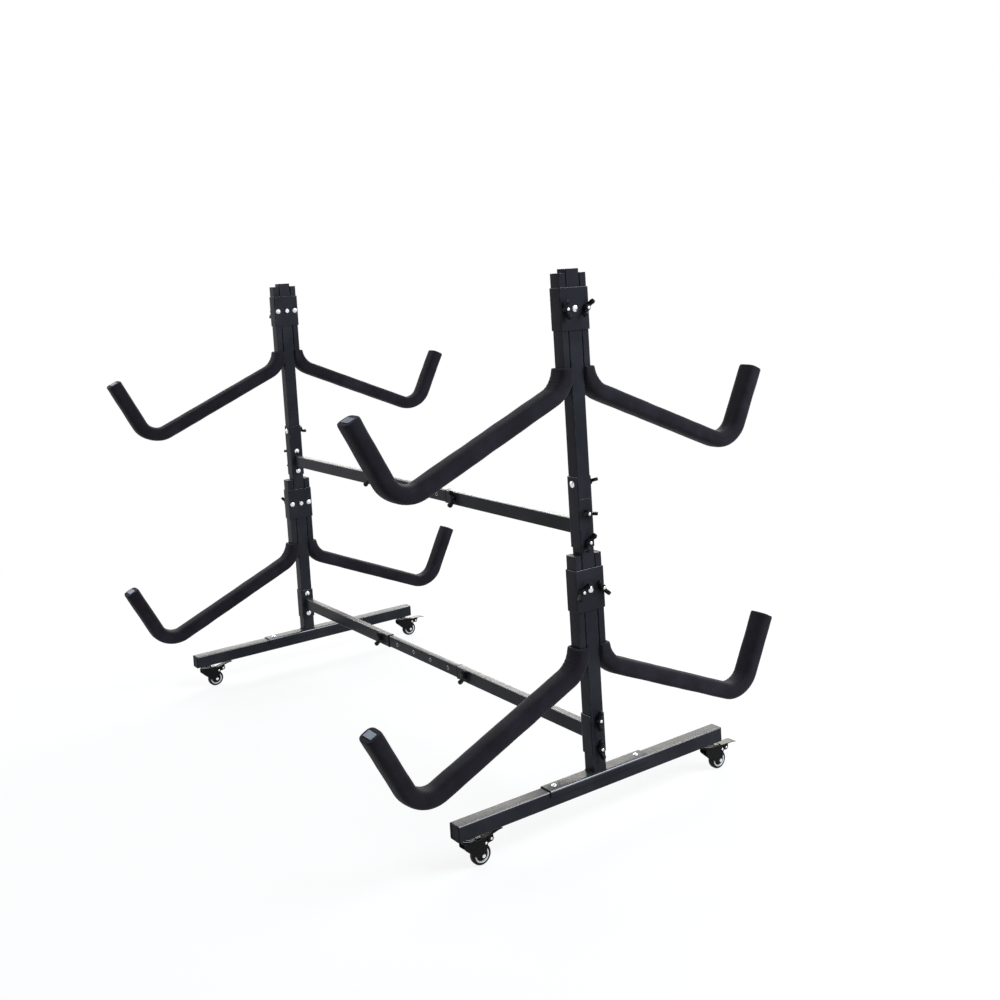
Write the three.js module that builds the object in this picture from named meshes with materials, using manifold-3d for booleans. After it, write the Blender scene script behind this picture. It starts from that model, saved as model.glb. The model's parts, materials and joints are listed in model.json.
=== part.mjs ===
// A freestanding rack that stores four kayaks: two wheeled posts joined by two telescoping
// crossbars, with a pair of foam-covered arms low and high on each post.
// X runs along the crossbars (near post at +X), Y along the feet and the arms, Z is up.
// The origin is on the floor, midway between the posts. Lengths are millimetres.
import * as THREE from "three";
import { mergeVertices } from "three/addons/utils/BufferGeometryUtils.js";
import Module from "manifold-3d";

const wasm = await Module();
wasm.setup();

// Whole rack
const POST_SPACING = 1682; // between the centres of the two posts
const FOOT_LENGTH = 800;
const LOWER_BAR_HEIGHT = 212; // floor to the middle of the crossbar
const LOWER_ELBOW_HEIGHT = 176.6; // floor to the corner of the lower arms' elbows
const BRACKET_ABOVE_ARMS = 16.5; // tops of the lower arms to the upper crossbar's bracket
const SPLICE_ABOVE_BAR = 70; // upper crossbar to where the upper post stands on the lower one
const UPPER_ARMS_ABOVE_SPLICE = 541; // splice to the tops of the upper arms
const POST_ABOVE_ARMS = 10;

// Gaps between pieces
const SEAT_GAP = 0.3; // between pieces that touch
const BOLT_GAP = 0.4; // round a bolt's shank
const TELESCOPE_GAP = 0.4; // round the sliding inner tube
const WELD_SINK = 0.5; // how far welded pieces run into each other
const OVERRUN = 6; // how far a cutting solid runs past what it cuts
const MERGE_DISTANCE = 0.001;
const LEAST_CORNER_SHARE = 0.25; // smallest inside corner of a tube, as a share of its wall

// Square tubes of the feet and posts
const TUBE = 38;
const TUBE_WALL = 1.5;
const TUBE_CORNER = 3; // outside corner radius

// Crossbars
const SLEEVE_WIDE = 19; // the tube's size along Y
const SLEEVE_TALL = 38;
const SLEEVE_WALL = 1.5;
const SLEEVE_CORNER = 2.5;
const INNER_WALL = 1.5;
const INNER_SHIFT = 6; // the inner tubes sit this much nearer to the near post
const HOLE_PITCH = 101.6;
const HOLE_COUNT = 8;
const HOLE_TO_END = 25.4; // last hole to the end of the inner tube
const INNER_LENGTH = (HOLE_COUNT - 1) * HOLE_PITCH + 2 * HOLE_TO_END;
const HOLES_TO_SCREW = 2.5; // hole pitches from the inner tube's middle to each locking screw
const SLEEVE_PAST_SCREW = 46;

// Sheet metal brackets
const PLATE = 2.5;
const PLATE_CORNER = 4; // outside bend radius
const PLATE_INNER_CORNER = PLATE_CORNER - PLATE;
const CHANNEL_CLEAR_OF_CORNER = 2; // the channel's flanges stop this far short of the post's outer face
const BAR_BRACKET_HALF = 48.5; // above and below the crossbar's middle
const BAR_BOLT_INSET = 13.5; // bracket bolts in from the bracket's ends
const SPLICE_BOLT_RISE = 36; // splice bolt above the splice
const SPLICE_BOLT_DROP = 18; // and below the top of the bracket that reaches up to it
const INSERT_LENGTH = 180; // joining tube inside the two posts

// Saddle on the foot
const SADDLE_LENGTH = 300;
const SADDLE_PLATE = 3;
const SADDLE_FLANGE = 13; // how far the sides come down over the foot
const SADDLE_CORNER = 5;
const SADDLE_BOLT_INSET = 24; // in from the saddle's ends

// Bolts
const BOLT = 8;
const BOLT_HOLE = BOLT + 2 * BOLT_GAP;
const DOME_RADIUS = 8.5;
const DOME_HEIGHT = 4.5;
const DOME_SHOULDER_SHARES = [0.6, 0.82]; // of the dome's radius and height
const HUB_BASE_RADIUS = 9;
const HUB_TOP_RADIUS = 7.5;
const HUB_HEIGHT = 13;
const BOLT_PAST_HUB = 4;
const WING_SPAN = 50;
const WING_THICKNESS = 8;
const WING_HEIGHT = 20;
const WING_TIP = 14.5; // height of the rounded end of a wing

// Arms
const ARM_WIDE = 38; // the tube's size along X
const ARM_THIN = 19; // and in the plane of its bends
const ARM_WALL = 1.5;
const ARM_CORNER = 1.8;
const ARM_POST_GAP = 1.6;
const ARM_ABOVE_BRACKET = 34;
const ARM_BRACKET_HEIGHT = 102;
const ARM_DROP = 273; // top end down to where stub and run would meet
const ARM_RUN = 505; // along the sloping run, between the two corners
const ARM_TIP = 221; // elbow corner to the open end
const ARM_RUN_SLOPE = 24; // degrees below level
const ARM_TIP_LEAN = 26.5; // degrees outward from upright
const SHOULDER_RADIUS = 75;
const ELBOW_RADIUS = 65;
const ARM_OFFSET = TUBE / 2 + ARM_POST_GAP + ARM_THIN / 2;

// Foam sleeves
const FOAM_WIDE = 60;
const FOAM_THICK = 43;
const FOAM_CORNER = 14;

// Casters
const WHEEL_DIAMETER = 50;
const WHEEL_WIDTH = 18;
const WHEEL_SIDES = 16;
const CASTER_INSET = 31; // swivel axis in from the foot's end
const CASTER_TRAIL = 30; // axle behind the swivel axis
const AXLE = 6;
const AXLE_GAP = 0.3;
const AXLE_NUT_RADIUS = 5.5;
const AXLE_NUT_HEIGHT = 4;
const LEG_PLATE = 2.2;
const LEG_CLEAR = 2.6; // wheel side to the fork's leg
const CROWN_OVER_WHEEL = 11.5;
const CROWN_PLATE = 3.2;
const CROWN_FRONT = 16; // ahead of the swivel axis
const LEG_FRONT_DROP = 10; // front edge of the fork's leg below the crown
const LEG_BREADTH = 18.5; // lower front corner of the leg ahead of the axle
const LEG_CORNER_RISE = 2; // and above it
const RACE_HEIGHT = 11;
const RACE_RADIUS = 17;
const RACE_GROOVE = 1.6;
const STEM = 11;
const STEM_LENGTH = 28;
const PIVOT_OVER_TREAD = 3.2; // brake pivot outside the wheel's rim
const PIVOT_TILT = 19.3; // degrees the pivot lies behind the top of the wheel
const PIVOT = 4.4;
const RIVET_HEAD = 3.6;
const RIVET_RISE = 1.6;
const PEDAL_RISE = 8.5; // pivot to the underside of the pedal
const PEDAL_PLATE = 2;
const PEDAL_LENGTH = 52; // behind the pivot
const PEDAL_WIDE = 26;
const PEDAL_LIP = 13; // length of the drooping end
const PEDAL_DROOP = 8;
const PEDAL_FRONT = 7; // ahead of the pivot
const LEFT_PEDAL_LIFT = 11; // degrees the left casters' pedals stand tipped up
const CHEEK_PLATE = 1.6;
const CHEEK_AFT = 24;
const CHEEK_BELOW = 4.5;
const SHOE_AFT = 6; // brake shoe behind the pivot
const SHOE_RIVET_AFT = 17;

// How finely round things are cut
const BOLT_SIDES = 8;
const ROUND_SIDES = 12;
const NUT_SIDES = 6;
const EYE_STEPS = 4;
const TUBE_CORNER_STEPS = 2;
const BEND_STEPS = 4;
const WING_TIP_STEPS = 2;

// Heights and places that follow
const ARM_SLOPE = THREE.MathUtils.degToRad(ARM_RUN_SLOPE);
const ARM_LEAN = THREE.MathUtils.degToRad(ARM_TIP_LEAN);
const LOWER_ARM_TOP = LOWER_ELBOW_HEIGHT + ARM_RUN * Math.sin(ARM_SLOPE) + ARM_DROP;
const UPPER_BAR_HEIGHT = LOWER_ARM_TOP + BRACKET_ABOVE_ARMS + BAR_BRACKET_HALF;
const SPLICE_HEIGHT = UPPER_BAR_HEIGHT + SPLICE_ABOVE_BAR;
const UPPER_ARM_TOP = SPLICE_HEIGHT + UPPER_ARMS_ABOVE_SPLICE;
const POST_TOP = UPPER_ARM_TOP + POST_ABOVE_ARMS;
const BAR_BOLT_OFFSET = BAR_BRACKET_HALF - BAR_BOLT_INSET; // from the crossbar's middle
const SPLICE_BOLT_HEIGHT = SPLICE_HEIGHT + SPLICE_BOLT_RISE;
const SPLICE_BRACKET_RISE = SPLICE_ABOVE_BAR + SPLICE_BOLT_RISE + SPLICE_BOLT_DROP; // above the bar
const SADDLE_BOLT_OFFSET = SADDLE_LENGTH / 2 - SADDLE_BOLT_INSET;
const WHEEL_RADIUS = WHEEL_DIAMETER / 2;
const AXLE_HEIGHT = WHEEL_RADIUS * Math.cos(Math.PI / WHEEL_SIDES); // a wheel facet lies on the floor
const CROWN_UNDERSIDE = WHEEL_DIAMETER + CROWN_OVER_WHEEL;
const CROWN_TOP = CROWN_UNDERSIDE + CROWN_PLATE;
const FOOT_UNDERSIDE = CROWN_TOP + RACE_HEIGHT + SEAT_GAP;
const FOOT_TOP = FOOT_UNDERSIDE + TUBE;
const SADDLE_TOP = FOOT_TOP + SEAT_GAP + SADDLE_PLATE;
const INNER_WIDE = SLEEVE_WIDE - 2 * (SLEEVE_WALL + TELESCOPE_GAP);
const INNER_TALL = SLEEVE_TALL - 2 * (SLEEVE_WALL + TELESCOPE_GAP);
const CHANNEL_INSIDE = TUBE / 2 + SEAT_GAP;
const CHANNEL_OUTSIDE = CHANNEL_INSIDE + PLATE;
const ARM_BOLT_DROP = ARM_ABOVE_BRACKET + ARM_BRACKET_HEIGHT / 2; // below the arm's top
const ARM_BRACKET_INSIDE = Math.max(ARM_WIDE, TUBE) / 2 + SEAT_GAP; // along X
const ARM_BRACKET_OUTSIDE = ARM_BRACKET_INSIDE + PLATE;
const CASTER_OFFSET = FOOT_LENGTH / 2 - CASTER_INSET;
const LEG_INSIDE = WHEEL_WIDTH / 2 + LEG_CLEAR;
const LEG_OUTSIDE = LEG_INSIDE + LEG_PLATE;
const PIVOT_REACH = WHEEL_RADIUS + PIVOT_OVER_TREAD;
const PIVOT_Y = CASTER_TRAIL + PIVOT_REACH * Math.sin(THREE.MathUtils.degToRad(PIVOT_TILT));
const PIVOT_Z = AXLE_HEIGHT + PIVOT_REACH * Math.cos(THREE.MathUtils.degToRad(PIVOT_TILT));

const finish = (color, roughness, metalness) =>
  new THREE.MeshStandardMaterial({ color, roughness, metalness });
const coat = () => finish(0x35363a, 0.5, 0.3);
const foamSkin = () => finish(0x17161a, 0.9, 0);
const knobPlastic = () => finish(0x14151b, 0.45, 0);
const forkSteel = () => finish(0x1b191b, 0.5, 0.4);
const tyre = () => finish(0x121212, 0.75, 0);
const zincPlate = () => finish(0x9a978a, 0.4, 0.8);

const X_AXIS = new THREE.Vector3(1, 0, 0);
const Y_AXIS = new THREE.Vector3(0, 1, 0);
const Z_AXIS = new THREE.Vector3(0, 0, 1);
const at = (x, y, z) => new THREE.Vector3(x, y, z);

// A closed geometry as a solid that can be joined and cut
function solidOf(geometry) {
  const bare = geometry.clone();
  bare.deleteAttribute("normal");
  bare.deleteAttribute("uv");
  const merged = mergeVertices(bare, MERGE_DISTANCE);
  const mesh = new wasm.Mesh({
    numProp: 3,
    vertProperties: merged.attributes.position.array,
    triVerts: new Uint32Array(merged.index.array),
  });
  return new wasm.Manifold(mesh);
}

function geometryOf(solid) {
  const mesh = solid.getMesh();
  const geometry = new THREE.BufferGeometry();
  geometry.setAttribute("position", new THREE.BufferAttribute(mesh.vertProperties, 3));
  geometry.setIndex(new THREE.BufferAttribute(mesh.triVerts, 1));
  geometry.computeVertexNormals();
  return geometry;
}

const join = (solids) => solids.reduce((whole, next) => whole.add(next));
const cut = (solid, cutters) => cutters.reduce((left, cutter) => left.subtract(cutter), solid);

// A round bar between two points
function rod(radius, start, end, sides = BOLT_SIDES) {
  const along = end.clone().sub(start);
  const geometry = new THREE.CylinderGeometry(radius, radius, along.length(), sides);
  geometry.applyQuaternion(new THREE.Quaternion().setFromUnitVectors(Y_AXIS, along.clone().normalize()));
  const middle = start.clone().add(end).divideScalar(2);
  geometry.translate(middle.x, middle.y, middle.z);
  return solidOf(geometry);
}

// A bolt hole through everything within reach of a middle point, along an axis
function boltHole(axis, middle, reach, diameter = BOLT_HOLE) {
  const arm = axis.clone().multiplyScalar(reach + OVERRUN);
  return rod(diameter / 2, middle.clone().sub(arm), middle.clone().add(arm));
}

// A block between two corners
function block(low, high) {
  const size = high.clone().sub(low);
  const geometry = new THREE.BoxGeometry(size.x, size.y, size.z);
  const middle = low.clone().add(high).divideScalar(2);
  geometry.translate(middle.x, middle.y, middle.z);
  return solidOf(geometry);
}

// Points of an arc about a centre, both ends included, angles in radians
function arc(x, y, radius, from, to, steps = TUBE_CORNER_STEPS) {
  const points = [];
  for (let i = 0; i <= steps; i++) {
    const angle = from + ((to - from) * i) / steps;
    points.push(new THREE.Vector2(x + radius * Math.cos(angle), y + radius * Math.sin(angle)));
  }
  return points;
}

function roundedRectangle(width, height, radius, steps = TUBE_CORNER_STEPS) {
  const x = width / 2 - radius;
  const y = height / 2 - radius;
  const quarter = Math.PI / 2;
  return [
    ...arc(x, y, radius, 0, quarter, steps),
    ...arc(-x, y, radius, quarter, 2 * quarter, steps),
    ...arc(-x, -y, radius, 2 * quarter, 3 * quarter, steps),
    ...arc(x, -y, radius, 3 * quarter, 4 * quarter, steps),
  ];
}

// An outline extruded along +Z from z = 0
function extruded(outline, depth, hole) {
  const shape = new THREE.Shape(outline);
  if (hole) shape.holes.push(new THREE.Path(hole));
  return new THREE.ExtrudeGeometry(shape, { depth, bevelEnabled: false });
}

// Turns that lay an extrusion along X (outline in Y, Z) or along Y (outline in X, Z)
const LIE_ALONG_X = new THREE.Matrix4().makeBasis(Y_AXIS, Z_AXIS, X_AXIS);
const LIE_ALONG_Y = new THREE.Matrix4().makeBasis(X_AXIS, Z_AXIS, Y_AXIS.clone().negate());

// A rectangular tube along +Z from z = 0, open at both ends
function boxTube(width, height, wall, corner, length, steps = TUBE_CORNER_STEPS) {
  const insideCorner = Math.max(corner - wall, wall * LEAST_CORNER_SHARE);
  return extruded(
    roundedRectangle(width, height, corner, steps),
    length,
    roundedRectangle(width - 2 * wall, height - 2 * wall, insideCorner, 1),
  );
}

function tubeUpright(size, wall, corner, bottom, top, steps) {
  return solidOf(boxTube(size, size, wall, corner, top - bottom, steps).translate(0, 0, bottom));
}

// Foot: a square tube along Y with holes for the caster stems and the saddle bolts
function foot() {
  const geometry = boxTube(TUBE, TUBE, TUBE_WALL, TUBE_CORNER, FOOT_LENGTH);
  geometry.applyMatrix4(LIE_ALONG_Y).translate(0, FOOT_LENGTH / 2, FOOT_UNDERSIDE + TUBE / 2);
  const holes = [];
  for (const end of [-1, 1]) {
    const stem = at(0, end * CASTER_OFFSET, FOOT_UNDERSIDE);
    holes.push(boltHole(Z_AXIS, stem, TUBE_WALL, STEM + 2 * BOLT_GAP));
    holes.push(boltHole(Z_AXIS, at(0, end * SADDLE_BOLT_OFFSET, FOOT_TOP), TUBE_WALL));
  }
  return cut(solidOf(geometry), holes);
}

// Lower post with the saddle welded on its foot
function lowerPost() {
  const inside = TUBE / 2 + SEAT_GAP;
  const outside = inside + SADDLE_PLATE;
  const bottom = FOOT_TOP - SADDLE_FLANGE;
  const under = FOOT_TOP + SEAT_GAP;
  const bendX = outside - SADDLE_CORNER;
  const bendZ = SADDLE_TOP - SADDLE_CORNER;
  const innerCorner = SADDLE_CORNER - SADDLE_PLATE;
  const quarter = Math.PI / 2;
  const outline = [
    new THREE.Vector2(outside, bottom),
    ...arc(bendX, bendZ, SADDLE_CORNER, 0, quarter),
    ...arc(-bendX, bendZ, SADDLE_CORNER, quarter, 2 * quarter),
    new THREE.Vector2(-outside, bottom),
    new THREE.Vector2(-inside, bottom),
    ...arc(innerCorner - inside, under - innerCorner, innerCorner, 2 * quarter, quarter),
    ...arc(inside - innerCorner, under - innerCorner, innerCorner, quarter, 0),
    new THREE.Vector2(inside, bottom),
  ];
  const channel = extruded(outline, SADDLE_LENGTH);
  channel.applyMatrix4(LIE_ALONG_Y).translate(0, SADDLE_LENGTH / 2, 0);
  const post = tubeUpright(TUBE, TUBE_WALL, TUBE_CORNER, SADDLE_TOP - WELD_SINK, SPLICE_HEIGHT);
  const holes = [];
  for (const way of [-1, 1]) {
    const saddleBolt = at(0, way * SADDLE_BOLT_OFFSET, SADDLE_TOP);
    holes.push(boltHole(Z_AXIS, saddleBolt, SADDLE_PLATE));
    holes.push(boltHole(X_AXIS, at(0, 0, LOWER_BAR_HEIGHT + way * BAR_BOLT_OFFSET), TUBE / 2));
    holes.push(boltHole(X_AXIS, at(0, 0, UPPER_BAR_HEIGHT + way * BAR_BOLT_OFFSET), TUBE / 2));
  }
  holes.push(boltHole(X_AXIS, at(0, 0, LOWER_ARM_TOP - ARM_BOLT_DROP), TUBE / 2));
  return cut(join([solidOf(channel), post]), holes);
}

function upperPost() {
  const post = tubeUpright(TUBE, TUBE_WALL, TUBE_CORNER, SPLICE_HEIGHT + SEAT_GAP, POST_TOP);
  return cut(post, [
    boltHole(Y_AXIS, at(0, 0, SPLICE_BOLT_HEIGHT), TUBE / 2),
    boltHole(X_AXIS, at(0, 0, UPPER_ARM_TOP - ARM_BOLT_DROP), TUBE / 2),
  ]);
}

// Tube inside the posts that joins them
function postInsert() {
  const size = TUBE - 2 * (TUBE_WALL + SEAT_GAP);
  const low = SPLICE_HEIGHT - INSERT_LENGTH / 2;
  const tube = tubeUpright(size, TUBE_WALL, TUBE_CORNER - TUBE_WALL, low, low + INSERT_LENGTH, 1);
  return cut(tube, [
    boltHole(Y_AXIS, at(0, 0, SPLICE_BOLT_HEIGHT), TUBE / 2),
    boltHole(X_AXIS, at(0, 0, UPPER_BAR_HEIGHT + BAR_BOLT_OFFSET), TUBE / 2),
  ]);
}

// World X of the screw that locks a sleeve to the inner tube, side 1 near or -1 far
const screwPlace = (side) => INNER_SHIFT + side * HOLES_TO_SCREW * HOLE_PITCH;

// Crossbar end sleeve welded to the channel that wraps the post from its inner side.
// Drawn about the post's axis, with the crossbar running towards -X.
function sleeve(side, barHeight, rise) {
  const inside = CHANNEL_INSIDE;
  const outside = CHANNEL_OUTSIDE;
  const bend = outside - PLATE_CORNER;
  const edge = TUBE / 2 - CHANNEL_CLEAR_OF_CORNER;
  const quarter = Math.PI / 2;
  const outline = [
    new THREE.Vector2(edge, inside),
    new THREE.Vector2(edge, outside),
    ...arc(-bend, bend, PLATE_CORNER, quarter, 2 * quarter),
    ...arc(-bend, -bend, PLATE_CORNER, 2 * quarter, 3 * quarter),
    new THREE.Vector2(edge, -outside),
    new THREE.Vector2(edge, -inside),
    ...arc(-bend, -bend, PLATE_INNER_CORNER, 3 * quarter, 2 * quarter, 1),
    ...arc(-bend, bend, PLATE_INNER_CORNER, 2 * quarter, quarter, 1),
  ];
  const channelHeight = BAR_BRACKET_HALF + rise;
  const channel = extruded(outline, channelHeight).translate(0, 0, barHeight - BAR_BRACKET_HALF);
  const screw = POST_SPACING / 2 - side * screwPlace(side);
  const reach = screw + SLEEVE_PAST_SCREW;
  const start = outside - WELD_SINK;
  const bar = boxTube(SLEEVE_WIDE, SLEEVE_TALL, SLEEVE_WALL, SLEEVE_CORNER, reach - start);
  bar.applyMatrix4(LIE_ALONG_X).translate(-reach, 0, barHeight);
  const holes = [boltHole(Y_AXIS, at(-screw, 0, barHeight), SLEEVE_WIDE / 2)];
  for (const way of [-1, 1]) {
    holes.push(boltHole(X_AXIS, at(-outside, 0, barHeight + way * BAR_BOLT_OFFSET), PLATE));
  }
  if (rise > BAR_BRACKET_HALF) holes.push(boltHole(Y_AXIS, at(0, 0, SPLICE_BOLT_HEIGHT), outside));
  return cut(join([solidOf(channel), solidOf(bar)]), holes);
}

// Crossbar inner tube with its row of holes, drawn about its own middle
function innerTube() {
  const tube = boxTube(INNER_WIDE, INNER_TALL, INNER_WALL, INNER_WALL, INNER_LENGTH, 1);
  tube.applyMatrix4(LIE_ALONG_X).translate(-INNER_LENGTH / 2, 0, 0);
  const holes = [];
  for (let i = 0; i < HOLE_COUNT; i++) {
    const x = (i - (HOLE_COUNT - 1) / 2) * HOLE_PITCH;
    holes.push(boltHole(Y_AXIS, at(x, 0, 0), INNER_WIDE / 2));
  }
  return cut(solidOf(tube), holes);
}

// Clamp box round the post and both arm tubes, drawn about the post's axis, arm tops at z = 0
function armBracket() {
  const insideX = 2 * ARM_BRACKET_INSIDE;
  const insideY = 2 * (ARM_OFFSET + ARM_THIN / 2 + SEAT_GAP);
  const box = extruded(
    roundedRectangle(insideX + 2 * PLATE, insideY + 2 * PLATE, PLATE_CORNER),
    ARM_BRACKET_HEIGHT,
    roundedRectangle(insideX, insideY, PLATE_INNER_CORNER, 1),
  );
  box.translate(0, 0, -ARM_ABOVE_BRACKET - ARM_BRACKET_HEIGHT);
  const bolts = [-ARM_OFFSET, 0, ARM_OFFSET].map((y) => at(0, y, -ARM_BOLT_DROP));
  return cut(solidOf(box), bolts.map((middle) => boltHole(X_AXIS, middle, ARM_BRACKET_OUTSIDE)));
}

// Centreline of an arm in its own plane, as stations with a place and a direction.
// It starts at a height, turns at the shoulder and the elbow, and ends some way up the tip.
function armStations(startHeight, tipLength) {
  const down = new THREE.Vector2(0, -1);
  const out = new THREE.Vector2(Math.cos(ARM_SLOPE), -Math.sin(ARM_SLOPE));
  const up = new THREE.Vector2(Math.sin(ARM_LEAN), Math.cos(ARM_LEAN));
  const shoulder = new THREE.Vector2(ARM_OFFSET, -ARM_DROP);
  const elbow = shoulder.clone().addScaledVector(out, ARM_RUN);
  const end = elbow.clone().addScaledVector(up, tipLength);
  const stations = [{ place: new THREE.Vector2(ARM_OFFSET, startHeight), way: down }];
  stations.push(...bend(shoulder, down, out, SHOULDER_RADIUS));
  stations.push(...bend(elbow, out, up, ELBOW_RADIUS));
  stations.push({ place: end, way: up });
  return stations;
}

// Stations round a corner between two directions, turning anticlockwise in the arm's plane
function bend(corner, from, to, radius) {
  const turn = to.angle() - from.angle() + (to.angle() < from.angle() ? 2 * Math.PI : 0);
  const start = corner.clone().addScaledVector(from, -radius * Math.tan(turn / 2));
  const centre = start.clone().add(new THREE.Vector2(-from.y, from.x).multiplyScalar(radius));
  const stations = [];
  for (let i = 0; i <= BEND_STEPS; i++) {
    const angle = (turn * i) / BEND_STEPS;
    const way = from.clone().rotateAround(new THREE.Vector2(), angle);
    const place = centre.clone().add(new THREE.Vector2(way.y, -way.x).multiplyScalar(radius));
    stations.push({ place, way });
  }
  return stations;
}

// Outline of a band that follows the stations, half a thickness to each side
function bandOutline(stations, half) {
  const side = (sign) =>
    stations.map(({ place, way }) =>
      place.clone().add(new THREE.Vector2(way.y, -way.x).multiplyScalar(sign * half)),
    );
  return [...side(1), ...side(-1).reverse()];
}

// A bent bar of rectangular section about X = 0, with plain edges or rounded ones
function bentBar(stations, thick, wide, corner, steps) {
  const outline = bandOutline(stations, thick / 2);
  const geometry = new THREE.ExtrudeGeometry(new THREE.Shape(outline), {
    depth: wide - 2 * corner,
    bevelEnabled: corner > 0,
    bevelThickness: corner,
    bevelSize: corner,
    bevelOffset: -corner,
    bevelSegments: steps,
  });
  geometry.translate(0, 0, corner - wide / 2).applyMatrix4(LIE_ALONG_X);
  return solidOf(geometry);
}

// Rounded bar with square-cut ends: the rounding would also round the ends, so it runs past them
function squareEndedBar(startHeight, tipLength, thick, wide, corner, steps) {
  const long = armStations(startHeight + corner + OVERRUN, tipLength + corner + OVERRUN);
  const exact = armStations(startHeight, tipLength);
  const rounded = bentBar(long, thick, wide, corner, steps);
  return rounded.intersect(bentBar(exact, thick + OVERRUN, wide + OVERRUN, 0, 1));
}

function arm() {
  const tube = squareEndedBar(0, ARM_TIP, ARM_THIN, ARM_WIDE, ARM_CORNER, 1);
  const hollowPath = armStations(OVERRUN, ARM_TIP + OVERRUN);
  const hollow = bentBar(hollowPath, ARM_THIN - 2 * ARM_WALL, ARM_WIDE - 2 * ARM_WALL, 0, 1);
  const hole = boltHole(X_AXIS, at(0, ARM_OFFSET, -ARM_BOLT_DROP), ARM_WIDE / 2);
  return cut(tube, [hollow, hole]);
}

// Foam from the start of the shoulder bend to the tip, flattened where it meets the post
function foam() {
  const turn = Math.PI / 2 - ARM_SLOPE;
  const start = -ARM_DROP + SHOULDER_RADIUS * Math.tan(turn / 2);
  const skin = squareEndedBar(start, ARM_TIP, FOAM_THICK, FOAM_WIDE, FOAM_CORNER, 2);
  const borePath = armStations(start + OVERRUN, ARM_TIP + OVERRUN);
  const bore = bentBar(borePath, ARM_THIN + 2 * SEAT_GAP, ARM_WIDE + 2 * SEAT_GAP, 0, 1);
  const postSide = TUBE / 2 + SEAT_GAP;
  const low = at(-FOAM_WIDE, postSide - FOAM_THICK, -ARM_DROP - ARM_RUN);
  const press = block(low, at(FOAM_WIDE, postSide, 0));
  return cut(skin, [bore, press]);
}

// Outline of the two wings of a wing nut, out from the hub and up to raised round tips
function wingOutline() {
  const reach = WING_SPAN / 2;
  const tipRadius = WING_TIP / 2;
  const tipX = reach - tipRadius;
  const tipY = WING_HEIGHT - tipRadius;
  const half = Math.PI / 2;
  return [
    new THREE.Vector2(-HUB_BASE_RADIUS, SEAT_GAP),
    new THREE.Vector2(HUB_BASE_RADIUS, SEAT_GAP),
    ...arc(tipX, tipY, tipRadius, -half, half, WING_TIP_STEPS),
    new THREE.Vector2(HUB_TOP_RADIUS, HUB_HEIGHT),
    new THREE.Vector2(-HUB_TOP_RADIUS, HUB_HEIGHT),
    ...arc(-tipX, tipY, tipRadius, half, 3 * half, WING_TIP_STEPS),
  ];
}

// A bolt with its wing nut, along +Z: the nut sits on z = 0 and the shank goes down to -shank.
// A domed bolt passes through its nut, and any other is a screw moulded into it.
function wingBolt(shank, domed) {
  const hub = new THREE.CylinderGeometry(
    HUB_TOP_RADIUS,
    HUB_BASE_RADIUS,
    HUB_HEIGHT - SEAT_GAP,
    ROUND_SIDES,
  );
  hub.rotateX(Math.PI / 2).translate(0, 0, (HUB_HEIGHT + SEAT_GAP) / 2);
  const wings = extruded(wingOutline(), WING_THICKNESS);
  wings.translate(0, 0, -WING_THICKNESS / 2).applyMatrix4(LIE_ALONG_Y);
  const pieces = [solidOf(hub), solidOf(wings)];
  const boltEnd = domed ? HUB_HEIGHT + BOLT_PAST_HUB : HUB_HEIGHT / 2;
  pieces.push(rod(BOLT / 2, at(0, 0, -shank), at(0, 0, boltEnd)));
  if (domed) {
    const [shoulderOut, shoulderUp] = DOME_SHOULDER_SHARES;
    const profile = [
      new THREE.Vector2(0, -DOME_HEIGHT),
      new THREE.Vector2(DOME_RADIUS * shoulderOut, -DOME_HEIGHT * shoulderUp),
      new THREE.Vector2(DOME_RADIUS, 0),
      new THREE.Vector2(0, 0),
    ];
    const dome = new THREE.LatheGeometry(profile, ROUND_SIDES);
    dome.rotateX(Math.PI / 2).translate(0, 0, -shank);
    pieces.push(solidOf(dome));
  }
  return join(pieces);
}

// Wheel turned about X through the origin, with its facet down
function wheel() {
  const half = WHEEL_WIDTH / 2;
  const bore = AXLE / 2 + AXLE_GAP;
  // Shares of the wheel's radius and half width, from the hub out to the tread
  const sideShares = [
    [0.32, 1],
    [0.4, 0.72],
    [0.66, 0.72],
    [0.74, 1],
    [1, 0.6],
  ];
  const side = (sign) =>
    sideShares.map(([r, w]) => new THREE.Vector2(r * WHEEL_RADIUS, sign * w * half));
  const start = new THREE.Vector2(bore, -half);
  const profile = [start, ...side(-1), ...side(1).reverse(), new THREE.Vector2(bore, half), start];
  const geometry = new THREE.LatheGeometry(profile, WHEEL_SIDES);
  geometry.rotateY(Math.PI / WHEEL_SIDES).rotateZ(-Math.PI / 2);
  return solidOf(geometry);
}

// Flat plate of the caster drawn in Y and Z, between two places along X
function sidePlate(outline, low, high) {
  const geometry = extruded(outline, high - low).applyMatrix4(LIE_ALONG_X).translate(low, 0, 0);
  return solidOf(geometry);
}

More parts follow.
